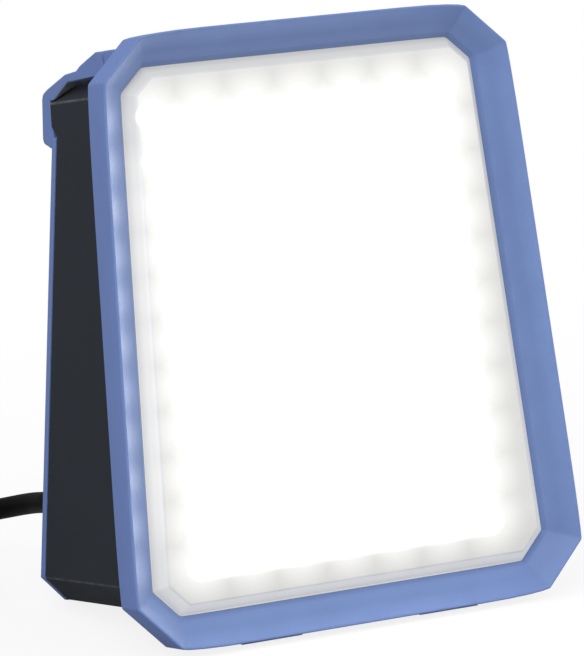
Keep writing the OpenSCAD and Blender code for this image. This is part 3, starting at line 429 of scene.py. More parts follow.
bright_brass = finish_of("bright_brass", (0.62, 0.46, 0.18), 0.26, metallic=1, patch=0.08, patch_size=3,
                         grain=0.01, grain_size=0.3)
pin_shape = bmesh.new()
for side in (-PIN_APART, PIN_APART):
    one = turned_mesh("one_pin", PIN_PROFILE, lambda x, y, z: at_plug(x, y + side, z), 32)
    pin_shape.from_mesh(one)
    bpy.data.meshes.remove(one)
pins = new_piece("plug_pin_pair", closed_mesh("plug_pin_pair", pin_shape, 40), bright_brass)
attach(pins, "lamp")
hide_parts("plug_pins")


def kept(finish, *names):
    """Give a material to pieces that keep their CAD shape."""
    for name in names:
        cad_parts[name].data.materials.clear()
        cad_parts[name].data.materials.append(finish)


kept(bright_brass, "plug_earth_clips")

# The front frame: a bumper moulded in blue plastic, with an upright outer wall, a sloping face and a lip that
# holds the lens. Its long edges bow outward a little, and its corners are cut off at an angle.
FRAME_H, FRAME_W_LOW, FRAME_W_TOP = 271, 227.5, 200
UPPER_CORNER, LOWER_CORNER = 18.5, 20.5
SIDE_BOW, END_BOW, BOW_REACH = 0.79, 1.69, 15.5
TAPER = (FRAME_W_LOW - FRAME_W_TOP) / 2 / FRAME_H
CORNER_SHRINK = 2 - math.sqrt(2)


def half_width(v, inset):
    return (FRAME_W_LOW + FRAME_W_TOP) / 4 - TAPER * v - inset * math.hypot(1, TAPER)


def corners(inset):
    """The eight corners of the tapered outline, that far inside the frame's outer edge."""
    top = FRAME_H / 2 - inset
    cut, low_cut = UPPER_CORNER - inset * CORNER_SHRINK, LOWER_CORNER - inset * CORNER_SHRINK
    right_side = [(half_width(top, inset) - cut, top), (half_width(top - cut, inset), top - cut),
                  (half_width(low_cut - top, inset), low_cut - top), (half_width(-top, inset) - low_cut, -top)]
    return [Vector(p) for p in right_side + [(-u, v) for u, v in reversed(right_side)]]


def outline_ring(inset, round_off, bowed=True, steps=14):
    """Points round the outline, with its corners rounded off over a short length and its long edges bowed."""
    found, ring = corners(inset), []
    share = max(0, 1 - inset / BOW_REACH) if bowed else 0
    bows = {1: SIDE_BOW, 3: END_BOW, 5: SIDE_BOW, 7: END_BOW}
    for k in range(8):
        a, b = found[k], found[(k + 1) % 8]
        before = found[k - 1]
        out, back_in = (b - a).normalized(), (before - a).normalized()
        for f in (0, 0.25, 0.5, 0.75, 1):
            ring.append(a + back_in * round_off * (1 - f) ** 2 + out * round_off * f ** 2)
        if k in bows:
            normal = Vector((-out.y, out.x))
            for i in range(1, steps):
                f = 0.5 - 0.5 * math.cos(math.pi * i / steps)
                f = round_off / (b - a).length + f * (1 - 2 * round_off / (b - a).length)
                ring.append(a + (b - a) * f + normal * bows[k] * share * (1 - abs(2 * f - 1) ** 8))
    return ring


def ringed_mesh(name, rings, closed=False, crease=40, rubbed_and_highlit=(), second=()):
    """A skin over rings of places; closed joins the last ring to the first, otherwise the ends are capped.
    rubbed_and_highlit numbers the rings whose edges turn paler, partly as wear and partly as painted highlight,
    and second the ones that start the second material."""
    made = bmesh.new()
    rub_and_highlight = made.verts.layers.float.new("edge_rub_and_highlight")
    loops = []
    for i, ring in enumerate(rings):
        loops.append([made.verts.new(p) for p in ring])
        for vert in loops[-1]:
            vert[rub_and_highlight] = 1.0 if i in rubbed_and_highlit else 0.0
    count = len(loops[0])
    pairs = list(zip(loops, loops[1:])) + ([(loops[-1], loops[0])] if closed else [])
    for i, (low, high) in enumerate(pairs):
        for k in range(count):
            face = made.faces.new((low[k], low[(k + 1) % count], high[(k + 1) % count], high[k]))
            face.material_index = 1 if i in second else 0
    if not closed:
        made.faces.new(loops[0][::-1])
        made.faces.new(loops[-1])
    return closed_mesh(name, made, crease)


# Both blue finishes have pale edges, partly wear and partly painted highlight.
blue_moulding = finish_of("blue_moulding", (0.174, 0.256, 0.55), 0.6, patch=0.045, patch_size=30,
                          grain=0.03, grain_size=0.45, rub_and_highlight=0.5, rub_and_highlight_colour=(0.21, 0.3, 0.56), ior=1.12)
blue_slope = finish_of("blue_slope", (0.166, 0.249, 0.505), 0.4, specular=0.25, patch=0.045, patch_size=30,
                       grain=0.015, grain_size=0.45, rub_and_highlight=0.5, rub_and_highlight_colour=(0.2, 0.28, 0.52))
FRAME_PROFILE = [(0.5, -18.5), (0, -18.0), (0, -9), (0, -0.9), (0.12, -0.38), (0.42, -0.05), (0.8, -0.02),
                 (1.15, -0.3), (1.6, -0.78), (4, -3.06), (8, -6.9), (11.3, -10.05), (11.7, -10.5),
                 (11.95, -10.95), (13.2, -13.0), (13.45, -13.42), (13.4, -13.5), (11.0, -13.5), (11.0, -16.3),
                 (2.5, -16.3), (2.5, -18.5)]
# The rim's rings get pale edges: partly wear, partly a painted highlight line along the rim.
FRAME_ROUND, RUBBED_RINGS, SLOPE_RINGS = 1.1, (4, 5, 6), range(7, 15)
frame_rings = [[on_face(p.x, p.y, n) for p in outline_ring(inset, FRAME_ROUND)] for inset, n in FRAME_PROFILE]
bumper_mesh = ringed_mesh("front_bumper", frame_rings, True, 40, RUBBED_RINGS, SLOPE_RINGS)
bumper = new_piece("front_bumper", bumper_mesh, blue_moulding)
bumper.data.materials.append(blue_slope)
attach(bumper, "lamp")
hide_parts("front_frame")

# The lens: one vacuum-formed sheet of frosted acrylic with a flat edge under the lip and a window raised on a
# bevel. The glow of the diode board behind it is painted on the lens as emission, in soft spots that run
# together towards the middle; the diodes themselves give no light.
LED_COLUMNS, LED_ROWS, LED_PITCH_X, LED_PITCH_Y = 7, 11, 24.3, 20
LENS_FRONT, LENS_BACK, LENS_FLAT, LENS_MIDDLE, LENS_ROUND = -6.0, -7.8, 29, 0.3, 0.4
LENS_PROFILE = [(15.7, -15.25), (11.4, -15.25), (11.4, -13.55), (13.75, -13.55), (14.0, -13.2), (18.3, -6.75),
                (18.65, -6.25), (19.1, -6.02), (19.6, LENS_FRONT)]
lens_sections = ([(LENS_FLAT, LENS_BACK, LENS_MIDDLE), (LENS_FLAT, LENS_BACK, 1), (20.6, LENS_BACK, 1)]
                 + [(inset, n, 1) for inset, n in LENS_PROFILE]
                 + [(LENS_FLAT, LENS_FRONT, 1), (LENS_FLAT, LENS_FRONT, LENS_MIDDLE)])
lens_rings = [[on_face(p.x * share, p.y * share, n) for p in outline_ring(inset, LENS_ROUND, False)]
              for inset, n, share in lens_sections]
frosted = bpy.data.materials.new("frosted_acrylic")
frosted.use_nodes = True
tree = frosted.node_tree
shader = tree.nodes["Principled BSDF"]
place = node(tree, "ShaderNodeMapping", Vector=tree.nodes.new("ShaderNodeTexCoord").outputs["Object"])
place.inputs["Rotation"].default_value = (LEAN, 0, 0)
place.inputs["Location"].default_value = -(Matrix.Rotation(LEAN, 3, "X") @ Vector((0, FACE_Y, FACE_Z))) / 1000
spot = tree.nodes.new("ShaderNodeSeparateXYZ")
tree.links.new(place.outputs[0], spot.inputs[0])


def from_nearest(tree, along, pitch, count):
    """How far a place is from the nearest diode, in one direction."""
    step = maths(tree, "ROUND", maths(tree, "DIVIDE", along, pitch / 1000))
    step = maths(tree, "MAXIMUM", maths(tree, "MINIMUM", step, (count - 1) / 2), (1 - count) / 2)
    return maths(tree, "SUBTRACT", along, maths(tree, "MULTIPLY", step, pitch / 1000))


def past_array(tree, along, pitch, count):
    """How far a place is outside the outermost row of diodes, in one direction."""
    return maths(tree, "SUBTRACT", maths(tree, "ABSOLUTE", along), pitch * (count - 1) / 2000)


def far_off(tree, a, b):
    """The distance that two sides at right angles make up."""
    return maths(tree, "SQRT", maths(tree, "ADD", maths(tree, "MULTIPLY", a, a), maths(tree, "MULTIPLY", b, b)))


def falling(tree, value, full, none, top):
    """A smooth fall from top to nothing between two values."""
    made = node(tree, "ShaderNodeMapRange", Value=value, From_Min=full, From_Max=none, To_Min=top, To_Max=0)
    made.interpolation_type = "SMOOTHSTEP"
    return made.outputs[0]


# The painted glow of the diodes: its spots sit 4 mm to the left of the diodes (SEEN_LEFT), where the camera's
# view shows them, and run together over the middle of the array; the window's rim and the bevel glow less.
SEEN_LEFT, END_REACH, LOW_FILL = 0.004, 0.0015, 0.0095
SPOT_CORE, SPOT_SPREAD = (0.002, 0.008, 5.0), (0.003, 0.022, 0.3)
BOARD_SPREAD, BOARD_FILL = (-0.002, 0.017, 0.385), (-0.014, -0.001, 3.4)
WINDOW_DEPTH, BEVEL_DEPTH, RIM_DEPTH = 0.0062, 0.0085, 0.0072
BEVEL_GLOW, BEVEL_FOOT_SHADE = (-0.115, 0.115, 0.39, 0.265), (0.0105, 0.0134, 1, 0.75)
RIM_GLOW = (-0.111, -0.098, 0.19, 0.262)
LEFT_BEVEL_HIGHLIGHT, LEFT_BEVEL_HIGHLIGHT_ENDS = (-0.086, -0.079, 0.14), (0.065, 0.105, 1)
PAINTED_REFLECTION_ROW, PAINTED_REFLECTION_REST, PAINTED_REFLECTION_DEPTH = (0.001, 0.009, 3.0), 1.8, (0.0065, 0.0115, 1)
sideways, depth, upward = spot.outputs
across = maths(tree, "ADD", sideways, SEEN_LEFT)
from_row = from_nearest(tree, upward, LED_PITCH_Y, LED_ROWS)
near = far_off(tree, from_nearest(tree, across, LED_PITCH_X, LED_COLUMNS), from_row)
past_columns = past_array(tree, across, LED_PITCH_X, LED_COLUMNS)
past_rows = maths(tree, "ADD", past_array(tree, upward, LED_PITCH_Y, LED_ROWS), END_REACH)
outside = far_off(tree, maths(tree, "MAXIMUM", past_columns, 0), maths(tree, "MAXIMUM", past_rows, 0))
spread = maths(tree, "MAXIMUM", falling(tree, near, *SPOT_SPREAD), falling(tree, outside, *BOARD_SPREAD))
spread = maths(tree, "MULTIPLY", spread, ramp(tree, depth, WINDOW_DEPTH, BEVEL_DEPTH, 1, 0.45))
# Painted highlight: the left bevel glows brighter than the others.
left_bevel_highlight = maths(tree, "MULTIPLY", falling(tree, sideways, *LEFT_BEVEL_HIGHLIGHT),
                   falling(tree, maths(tree, "ABSOLUTE", upward), *LEFT_BEVEL_HIGHLIGHT_ENDS))
# The bevel's painted glow is brighter towards the bottom, and it fades at the bevel's foot by the lip as
# painted shade.
bevel_glow = maths(tree, "MULTIPLY", maths(tree, "ADD", ramp(tree, upward, *BEVEL_GLOW), left_bevel_highlight),
                   ramp(tree, depth, *BEVEL_FOOT_SHADE))
border = ramp(tree, depth, WINDOW_DEPTH, RIM_DEPTH, ramp(tree, upward, *RIM_GLOW), bevel_glow)
# Painted reflection: rays mirrored by the frame see a stronger glow, strongest along the diode rows, so the
# frame's slope shows pale patches of reflected glow.
painted_reflection_rows = maths(tree, "ADD", falling(tree, maths(tree, "ABSOLUTE", from_row), *PAINTED_REFLECTION_ROW), PAINTED_REFLECTION_REST)
mirrored = maths(tree, "MULTIPLY", tree.nodes.new("ShaderNodeLightPath").outputs["Is Glossy Ray"],
                 maths(tree, "MULTIPLY", falling(tree, depth, *PAINTED_REFLECTION_DEPTH), painted_reflection_rows))
array_end = LED_PITCH_Y * (LED_ROWS - 1) / 2000
past_low = maths(tree, "SUBTRACT", maths(tree, "MULTIPLY", upward, -1), array_end + LOW_FILL)
past_ends = maths(tree, "MAXIMUM", past_low, maths(tree, "SUBTRACT", upward, array_end))
middle = falling(tree, maths(tree, "MAXIMUM", past_columns, past_ends), *BOARD_FILL)
glow = maths(tree, "ADD", spread, falling(tree, near, *SPOT_CORE))
for share in (border, mirrored, middle):
    glow = maths(tree, "ADD", glow, share)
shader.inputs["Base Color"].default_value = (0.508, 0.503, 0.486, 1)
shader.inputs["Specular IOR Level"].default_value = 0.4
glow_tint = tree.nodes.new("ShaderNodeMix")
glow_tint.data_type = "RGBA"
tree.links.new(falling(tree, depth, WINDOW_DEPTH, BEVEL_DEPTH, 1), glow_tint.inputs[0])
glow_tint.inputs[6].default_value, glow_tint.inputs[7].default_value = (1, 0.975, 0.9, 1), (1, 0.998, 0.982, 1)
tree.links.new(glow_tint.outputs[2], shader.inputs["Emission Color"])
tree.links.new(glow, shader.inputs["Emission Strength"])
frost = node(tree, "ShaderNodeTexNoise", Vector=place.outputs[0], Scale=2200.0, Detail=2.0)
tree.links.new(ramp(tree, frost.outputs[0], 0, 1, 0.24, 0.4), shader.inputs["Roughness"])
frost_bump = node(tree, "ShaderNodeBump", Height=frost.outputs[0], Strength=0.3, Distance=0.00002)
tree.links.new(frost_bump.outputs[0], shader.inputs["Normal"])
lens = new_piece("lens_sheet", ringed_mesh("lens_sheet", lens_rings, False, 30), frosted)
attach(lens, "lamp")
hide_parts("lens")

# The tub: a deep box moulded in anthracite plastic, with a flange that the frame screws onto, rests for the
# handle at its two upper rear corners and a hinge block behind each upper corner of the frame.


def softened(name, cad_node, width, material, least=3.0, segments=2, wanted=None, bent=None, bend=0):
    """A copy of a CAD node with its flat faces made whole and its long outer edges rounded, in millimetres.
    wanted(middle) picks the edges by place, in metres; bent(edge) picks corners to round first, by bend."""
    made = bmesh.new()
    made.from_mesh(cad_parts[cad_node].data)
    bmesh.ops.remove_doubles(made, verts=made.verts, dist=1e-5)
    bmesh.ops.dissolve_limit(made, angle_limit=math.radians(0.4), verts=made.verts, edges=made.edges)
    if bent:
        bmesh.ops.bevel(made, geom=[e for e in made.edges if e.is_manifold and e.is_convex and bent(e)],
                        offset=bend / 1000, segments=5, profile=0.5, affect="EDGES", clamp_overlap=False,
                        loop_slide=True)
    # The rounded strips are marked for pale edges in the material: partly wear, partly painted highlight lines.
    rub_and_highlight = made.verts.layers.float.new("edge_rub_and_highlight")
    edges = [e for e in made.edges if e.is_manifold and e.is_convex and e.calc_face_angle() > math.radians(22)
             and e.calc_length() > least / 1000
             and (wanted is None or wanted((e.verts[0].co + e.verts[1].co) / 2))]
    rounded = bmesh.ops.bevel(made, geom=edges, offset=width / 1000, segments=segments, profile=0.5,
                              affect="EDGES", clamp_overlap=False, loop_slide=True)
    strips = set(rounded["faces"])
    for vert in rounded["verts"]:
        vert[rub_and_highlight] = 1.0 if all(f in strips for f in vert.link_faces) else 0.0
    bmesh.ops.triangulate(made, faces=[f for f in made.faces if len(f.verts) > 4])
    piece = new_piece(name, closed_mesh(name, made, 35), material)
    even = piece.modifiers.new("even_shading", "WEIGHTED_NORMAL")
    even.keep_sharp = True
    return piece


# The tub's edges turn strongly paler: painted highlight lines along its chamfers, with some wear.
dark_moulding = finish_of("dark_moulding", (0.038, 0.043, 0.053), 0.75, patch=0.04, patch_size=25,
                          grain=0.03, grain_size=0.5, rub_and_highlight=0.9, rub_and_highlight_colour=(0.16, 0.165, 0.17), ior=1.06)
TUB_INSET, REST_LOW, REST_FRONT, REST_IN = 14.5, 110, -84.8, 76.2


def from_face(place):
    """A place in the row frame, in metres, as u, v and n on the face."""
    y, z = place.y * 1000 - FACE_Y, place.z * 1000 - FACE_Z
    return place.x * 1000, y * math.sin(LEAN) + z * math.cos(LEAN), z * math.sin(LEAN) - y * math.cos(LEAN)


def outside_tub(p):
    """Whether an edge lies on the outside of the tub, and not on the narrow top of a handle rest."""
    u, v, n = from_face(p)
    on_rest = v > REST_LOW and n < REST_FRONT and abs(u) < REST_IN
    return (abs(v) > FRAME_H / 2 - TUB_INSET or abs(u) > half_width(v, TUB_INSET)) and not on_rest


tub = softened("rear_tub", "housing", 0.9, dark_moulding, wanted=outside_tub)
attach(tub, "lamp")
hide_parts("housing")

# The back cover: a plate moulded in the frame's blue plastic and screwed over the open tub onto a gasket.
# It carries the switch, the vent plug and the gland, and its edge shows from the side.
cover = softened("back_cover", "rear_cover", 0.6, blue_moulding, least=6)
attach(cover, "lamp")
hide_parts("rear_cover")

# The carrying handle: two arms and a grip bar moulded in one piece of the same blue plastic. It turns on two
# steel pins and folds down over the tub's upper rear corners, where a grey pad under each arm rests on the tub.
HANDLE_BEND = 3
PAD_OUT, PAD_FRONT, PAD_BACK, PAD_TOP = 78, -70, -99, 121


def handle_bend(edge):
    """Whether an edge lies across the handle's outer side, where the arm is bent over the corner."""
    along = (edge.verts[1].co - edge.verts[0].co).normalized()
    outward = sum((face.normal for face in edge.link_faces), Vector()).normalized()
    u, v, n = from_face((edge.verts[0].co + edge.verts[1].co) / 2)
    return (abs(along.x) > 0.99 and edge.calc_length() > 0.005 and n < -45
            and edge.calc_face_angle() > math.radians(40) and outward.dot(turned(0, 0.6, -0.8)) > 0.3)


carrier = softened("carry_handle", "handle", 0.8, blue_moulding, least=2.2, segments=3, bent=handle_bend,
                   bend=HANDLE_BEND)
carrier.data.materials.append(finish_of("arm_pad", (0.16, 0.17, 0.19), 0.85, patch=0.1, patch_size=4, grain=0.1,
                                        grain_size=0.6, ior=1.2))
for polygon in carrier.data.polygons:
    u, v, n = from_face(polygon.center)
    down = turned(0, -1, 0).dot(polygon.normal)
    if abs(u) > PAD_OUT and PAD_BACK < n < PAD_FRONT and v < PAD_TOP and down > 0.5:
        polygon.material_index = 1
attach(carrier, "handle")
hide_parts("handle")

# The hinge caps: two small covers moulded in the same blue plastic, set behind the frame's upper corners.
# They are hollow, and each closes the way round one hub of the handle.
caps = softened("hinge_covers", "hinge_caps", 0.5, blue_moulding, least=2)
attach(caps, "lamp")
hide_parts("hinge_caps")

# The screws: zinc-plated cap screws with a hexagon socket. They hold the frame, the back cover, the heat sink
# and the driver, and each stops at a turn of its own.
zinc_steel = finish_of("zinc_steel", (0.5, 0.51, 0.53), 0.32, metallic=1, patch=0.1, patch_size=2, grain=0.01,
                       grain_size=0.2)
SCREW_D, SCREW_HEAD_D, SCREW_HEAD_H, SCREW_LENGTH, SOCKET_R, SCREW_EDGE = 3, 5.5, 2, 9, 1.5, 0.45
DRIVER_SCREW_LENGTH = 7
SIDE_ROW, END_COLUMN, END_ROW = 85.5, 50, 128.75
COVER_ROWS = (-SIDE_ROW - 8, -SIDE_ROW * 0.38, SIDE_ROW * 0.3, SIDE_ROW - 6)
DRIVER_HOLES_X, DRIVER_HOLES_Y = (-62.3, 62.3), (7, 57)
FRAME_INSET, SINK_INSET, COVER_INSET = 6.75, 19.95, 20
FRAME_SEAT, SINK_SEAT, COVER_SEAT, DRIVER_SEAT = -18.5, -24.5, 3.5, -7
screw_tree = bpy.data.node_groups.new("cap_screws", "GeometryNodeTree")
screw_tree.interface.new_socket("Screws", in_out="OUTPUT", socket_type="NodeSocketGeometry")
screw_inputs = {}
for label, kind in (("Places", "Geometry"), ("Shank Radius", "Float"), ("Head Radius", "Float"),
                    ("Head Height", "Float"), ("Length", "Float"), ("Socket Radius", "Float"),
                    ("Edge", "Float"), ("Metal", "Material")):
    socket = screw_tree.interface.new_socket(label, in_out="INPUT", socket_type="NodeSocket" + kind)
    screw_inputs[label] = socket.identifier
given = screw_tree.nodes.new("NodeGroupInput").outputs
edge, head_r, shank_r = given["Edge"], given["Head Radius"], given["Shank Radius"]
head_face = maths(screw_tree, "MULTIPLY", given["Head Height"], -1)
SCREW_RINGS = [(given["Length"], maths(screw_tree, "SUBTRACT", shank_r, edge)),
               (maths(screw_tree, "SUBTRACT", given["Length"], edge), shank_r), (0.0, shank_r), (0.0, head_r),
               (maths(screw_tree, "ADD", head_face, edge), head_r),
               (maths(screw_tree, "MULTIPLY_ADD", edge, 0.3, head_face),
                maths(screw_tree, "MULTIPLY_ADD", edge, -0.3, head_r)),
               (head_face, maths(screw_tree, "SUBTRACT", head_r, edge)), (head_face, given["Socket Radius"]),
               (maths(screw_tree, "MULTIPLY", head_face, 0.5), given["Socket Radius"])]
LAST_RING, SOCKET_RING = len(SCREW_RINGS) - 1, 7
blank = node(screw_tree, "GeometryNodeMeshCylinder", Vertices=24, Side_Segments=LAST_RING, Radius=1.0,
             Depth=2.0)
position = screw_tree.nodes.new("GeometryNodeInputPosition").outputs[0]
spot = node(screw_tree, "ShaderNodeSeparateXYZ", Vector=position)
ring = maths(screw_tree, "ROUND", maths(screw_tree, "MULTIPLY", maths(screw_tree, "ADD", spot.outputs[2], 1),
                                        LAST_RING / 2))


def by_ring(values):
    """The value for a point's own ring."""
    switch = screw_tree.nodes.new("GeometryNodeIndexSwitch")
    switch.data_type = "FLOAT"
    for _ in values[2:]:
        switch.index_switch_items.new()
    screw_tree.links.new(ring, switch.inputs[0])
    for socket, value in zip(switch.inputs[1:], values):
        if isinstance(value, float):
            socket.default_value = value
        else:
            screw_tree.links.new(value, socket)
    return switch.outputs[0]


turn = maths(screw_tree, "ADD", maths(screw_tree, "ARCTAN2", spot.outputs[1], spot.outputs[0]),
             2 * math.pi + math.pi / 6)
turn = maths(screw_tree, "SUBTRACT", maths(screw_tree, "MODULO", turn, math.pi / 3), math.pi / 6)
flat = maths(screw_tree, "DIVIDE", math.cos(math.pi / 6), maths(screw_tree, "COSINE", turn))
in_socket = maths(screw_tree, "GREATER_THAN", ring, SOCKET_RING - 0.5)
six_sided = maths(screw_tree, "MULTIPLY_ADD", in_socket, maths(screw_tree, "SUBTRACT", flat, 1), 1)
radius = maths(screw_tree, "MULTIPLY", by_ring([r for z, r in SCREW_RINGS]), six_sided)
shaped = node(screw_tree, "ShaderNodeCombineXYZ", X=maths(screw_tree, "MULTIPLY", spot.outputs[0], radius),
              Y=maths(screw_tree, "MULTIPLY", spot.outputs[1], radius), Z=by_ring([z for z, r in SCREW_RINGS]))
pressed = node(screw_tree, "GeometryNodeSetPosition", Geometry=blank.outputs[0], Position=shaped.outputs[0])
screw = node(screw_tree, "GeometryNodeFlipFaces", Mesh=pressed.outputs[0])
driven = screw_tree.nodes.new("GeometryNodeInputNamedAttribute")
driven.data_type = "FLOAT_VECTOR"
driven.inputs["Name"].default_value = "driven"
upright = node(screw_tree, "FunctionNodeAlignRotationToVector", Vector=driven.outputs["Attribute"])
upright.axis = "Z"
any_turn = node(screw_tree, "FunctionNodeRandomValue", i2=0.0, i3=math.pi / 3, Seed=5)
about_axis = node(screw_tree, "ShaderNodeCombineXYZ", Z=any_turn.outputs[1])
own_turn = node(screw_tree, "FunctionNodeEulerToRotation", Euler=about_axis.outputs[0])
stopped = node(screw_tree, "FunctionNodeRotateRotation", Rotation=upright.outputs[0],
               Rotate_By=own_turn.outputs[0])
stopped.rotation_space = "LOCAL"
placed = node(screw_tree, "GeometryNodeInstanceOnPoints", Points=given["Places"], Instance=screw.outputs[0],
              Rotation=stopped.outputs[0])
solid = node(screw_tree, "GeometryNodeRealizeInstances", Geometry=placed.outputs[0])
plated = node(screw_tree, "GeometryNodeSetMaterial", Geometry=solid.outputs[0], Material=given["Metal"])
screw_tree.links.new(plated.outputs[0], screw_tree.nodes.new("NodeGroupOutput").inputs[0])

into_face, into_back = turned(0, 0, 1), on_back(0, 0, -1) - on_back(0, 0, 0)
sides = [(side, v) for v in (-SIDE_ROW, 0, SIDE_ROW) for side in (-1, 1)]
for name, cad_node, length, seats in (
        ("frame_screw_set", "frame_screws", SCREW_LENGTH,
         [(on_face(side * half_width(v, FRAME_INSET), v, FRAME_SEAT), into_face) for side, v in sides]
         + [(on_face(u, v, FRAME_SEAT), into_face) for u in (-END_COLUMN, END_COLUMN)
            for v in (-END_ROW, END_ROW)]),
        ("cover_screw_set", "cover_screws", SCREW_LENGTH,
         [(on_back(side * half_width(v, COVER_INSET), v / math.cos(WEDGE), COVER_SEAT), into_back)
          for v in COVER_ROWS for side in (-1, 1)]),
        ("sink_screw_set", "sink_screws", SCREW_LENGTH,
         [(on_face(side * half_width(v, SINK_INSET), v, SINK_SEAT), -into_face) for side, v in sides]),
        ("driver_screw_set", "driver_screws", DRIVER_SCREW_LENGTH,
         [(on_back(x, y, DRIVER_SEAT), -into_back) for x in DRIVER_HOLES_X for y in DRIVER_HOLES_Y])):
    seat_mesh = bpy.data.meshes.new(name)
    seat_mesh.from_pydata([place for place, drive in seats], [], [])
    seat_mesh.attributes.new("driven", "FLOAT_VECTOR", "POINT").data.foreach_set(
        "vector", [c for place, drive in seats for c in drive.normalized()])
    screws = new_piece(name, seat_mesh, zinc_steel)
    maker = screws.modifiers.new("screws", "NODES")
    maker.node_group = screw_tree
    for label, value in (("Shank Radius", SCREW_D / 2), ("Head Radius", SCREW_HEAD_D / 2),
                         ("Head Height", SCREW_HEAD_H), ("Length", length), ("Socket Radius", SOCKET_R),
                         ("Edge", SCREW_EDGE)):
        maker[screw_inputs[label]] = value / 1000
    maker[screw_inputs["Metal"]] = zinc_steel
    made = bpy.data.meshes.new_from_object(screws.evaluated_get(bpy.context.evaluated_depsgraph_get()))
    screws.modifiers.remove(maker)
    screws.data = made
    made.shade_smooth()
    made.set_sharp_from_angle(angle=math.radians(32))
    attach(screws, "lamp")
    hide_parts(cad_node)

# The vent plug: a breather with a hexagon foot and a round cap, moulded in the tub's plastic and screwed into
# the cover, so that the warm lamp can breathe without taking in water.
VENT_X, VENT_Y, VENT_HEX_R, VENT_HEX_TOP = -66, -20, 9, 8.1
VENT_PROFILE = [(-3, 5.4), (-2.6, 6.0), (5.5, 6.0), (5.5, 8.3), (5.8, 8.8), (6.2, 9.0), (7.4, 9.0), (7.8, 8.7),
                (8.0, 8.2), (8.0, 7.2), (8.2, 7.5), (8.9, 7.5), (9.3, 7.3), (9.5, 6.8), (9.5, 3.4), (9.2, 3.1),
                (9.2, 0.8)]


def at_vent(x, y, z):
    return on_back(VENT_X + x, VENT_Y + y, z)


vent_mesh = turned_mesh("breather", VENT_PROFILE, at_vent, 96, hexagon(VENT_HEX_R, VENT_HEX_TOP))
vent = new_piece("breather", vent_mesh, dark_moulding)
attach(vent, "lamp")
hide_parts("vent_plug")

# The switch: a black glossy body snapped into the cover, with a rocker on two trunnions. The usual bar and ring
# for on and off are printed on the rocker in white.
SWITCH_X, SWITCH_Y, SWITCH_PIVOT = -58.311, -70, 4.5
ROCKER_HALF, ROCKER_TILT = 11.5, math.radians(9)
MARK_SUNK, MARK_PROUD = -0.3, 0.06
RING_Y, RING_OUTER, RING_INNER, RING_STEPS = 6.5, 2.6, 1.7, 40
switch_gloss = finish_of("switch_gloss", (0.011, 0.011, 0.012), 0.2, specular=0.45, patch=0.08, patch_size=6,
                         grain=0.008, grain_size=0.5)
mark_white = finish_of("mark_white", (0.72, 0.72, 0.7), 0.5, patch=0.04, patch_size=1, grain=0.01,
                       grain_size=0.3)
switch_frame = softened("switch_frame", "switch_body", 0.3, switch_gloss, least=2)
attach(switch_frame, "lamp")
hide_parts("switch_body")
rocker = softened("rocker_button", "switch_rocker", 0.45, switch_gloss, least=2, segments=3)
rocker.data.materials.append(mark_white)


def on_rocker(x, y, above):
    """A place that far above the rocker's hollow top."""
    z = 3.4 + 1.6 * abs(y) / ROCKER_HALF + above
    return on_back(SWITCH_X + x, SWITCH_Y + y * math.cos(ROCKER_TILT) - z * math.sin(ROCKER_TILT),
                   SWITCH_PIVOT + y * math.sin(ROCKER_TILT) + z * math.cos(ROCKER_TILT))


marked = bmesh.new()
marked.from_mesh(rocker.data)
bar = rounded_box_line(-0.5, -9, 0.5, -4, 0.2, 2)
levels = [[marked.verts.new(on_rocker(x, y, above)) for x, y in bar] for above in (MARK_SUNK, MARK_PROUD)]
printed = [marked.faces.new(levels[0][::-1]), marked.faces.new(levels[1])]
for k in range(len(bar)):
    printed.append(marked.faces.new((levels[0][k - 1], levels[0][k], levels[1][k], levels[1][k - 1])))
sections = []
for k in range(RING_STEPS):
    angle = 2 * math.pi * k / RING_STEPS
    sections.append([marked.verts.new(on_rocker(r * math.cos(angle), RING_Y + r * math.sin(angle), above))
                     for r, above in ((RING_OUTER, MARK_SUNK), (RING_OUTER, MARK_PROUD),
                                      (RING_INNER, MARK_PROUD), (RING_INNER, MARK_SUNK))])
for k in range(RING_STEPS):
    for j in range(4):
        printed.append(marked.faces.new((sections[k - 1][j], sections[k][j], sections[k][(j + 1) % 4],
                                         sections[k - 1][(j + 1) % 4])))
bmesh.ops.recalc_face_normals(marked, faces=printed)
for face in printed:
    face.material_index = 1
marked.to_mesh(rocker.data)
marked.free()
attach(rocker, "rocker")
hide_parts("switch_rocker")

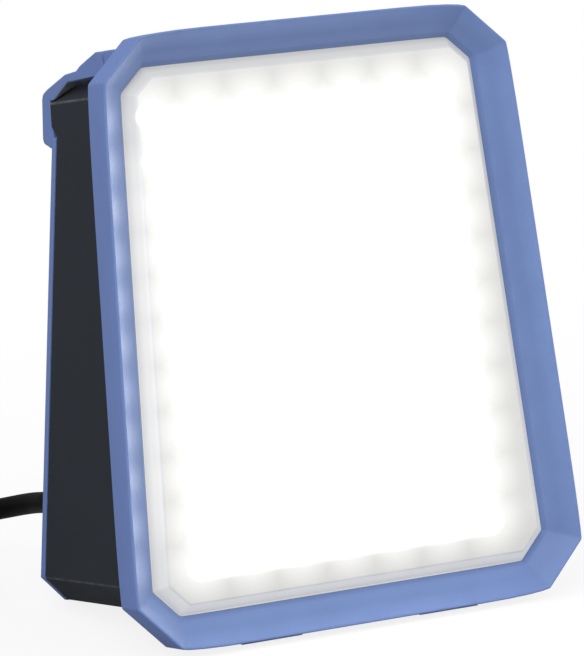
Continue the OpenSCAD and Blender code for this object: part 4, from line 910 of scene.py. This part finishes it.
# The seals and pads: gaskets cut from black rubber sheet for the lens and the back cover, the ring that the
# gland squeezes, and rubber pads stuck under the tub. The pads under the frame are in the frame's blue.
seal_rubber = finish_of("seal_rubber", (0.012, 0.012, 0.013), 0.7, specular=0.25, patch=0.15, patch_size=8,
                        grain=0.08, grain_size=0.8)
pad_rubber = finish_of("pad_rubber", (0.2, 0.3, 0.6), 0.8, specular=0.2, patch=0.1, patch_size=8, grain=0.05,
                       grain_size=0.8)
kept(seal_rubber, "lens_gasket", "rear_feet", "cover_gasket", "gland_seal")
kept(pad_rubber, "front_feet")

# The hinge pins and the locknut: two turned steel pins, zinc-plated like the screws, on which the handle
# swings, and a nut moulded in dark plastic that holds the gland from inside the cover.
kept(zinc_steel, "handle_pins")
kept(dark_moulding, "gland_locknut")

# The light engine: an extruded aluminium heat sink with fins, screwed onto a ledge in the tub. It carries the
# diode board with its white solder mask, and the diodes are soldered on in rows, yellow with phosphor.
drawn_aluminium = finish_of("drawn_aluminium", (0.55, 0.56, 0.58), 0.4, metallic=1, patch=0.07, patch_size=12,
                            grain=0.02, grain_size=0.4)
board_mask = finish_of("board_mask", (0.74, 0.75, 0.73), 0.35, patch=0.03, patch_size=20, grain=0.01,
                       grain_size=0.4)
phosphor = finish_of("phosphor", (0.86, 0.7, 0.18), 0.3, patch=0.06, patch_size=2, grain=0.01, grain_size=0.2)
kept(drawn_aluminium, "heat_sink")
kept(board_mask, "led_board")
kept(phosphor, "leds")

# The electrics: a driver screwed to posts on the cover and a terminal block, both in plain off-white mouldings,
# with brass clamp screws and switch tabs. Copper leads in coloured insulation join them.
driver_shell = finish_of("driver_shell", (0.66, 0.66, 0.63), 0.5, patch=0.04, patch_size=15, grain=0.03,
                         grain_size=0.5)
kept(driver_shell, "driver_case", "terminal_block")
kept(bright_brass, "terminal_screws", "switch_tabs")
for lead, name, colour in (("live_lead", "brown_lead", (0.15, 0.058, 0.022)),
                           ("neutral_lead", "blue_lead", (0.03, 0.14, 0.48)),
                           ("earth_lead", "green_lead", (0.16, 0.36, 0.03)),
                           ("led_leads", "red_lead", (0.48, 0.013, 0.013))):
    kept(finish_of(name, colour, 0.45, patch=0.06), lead)
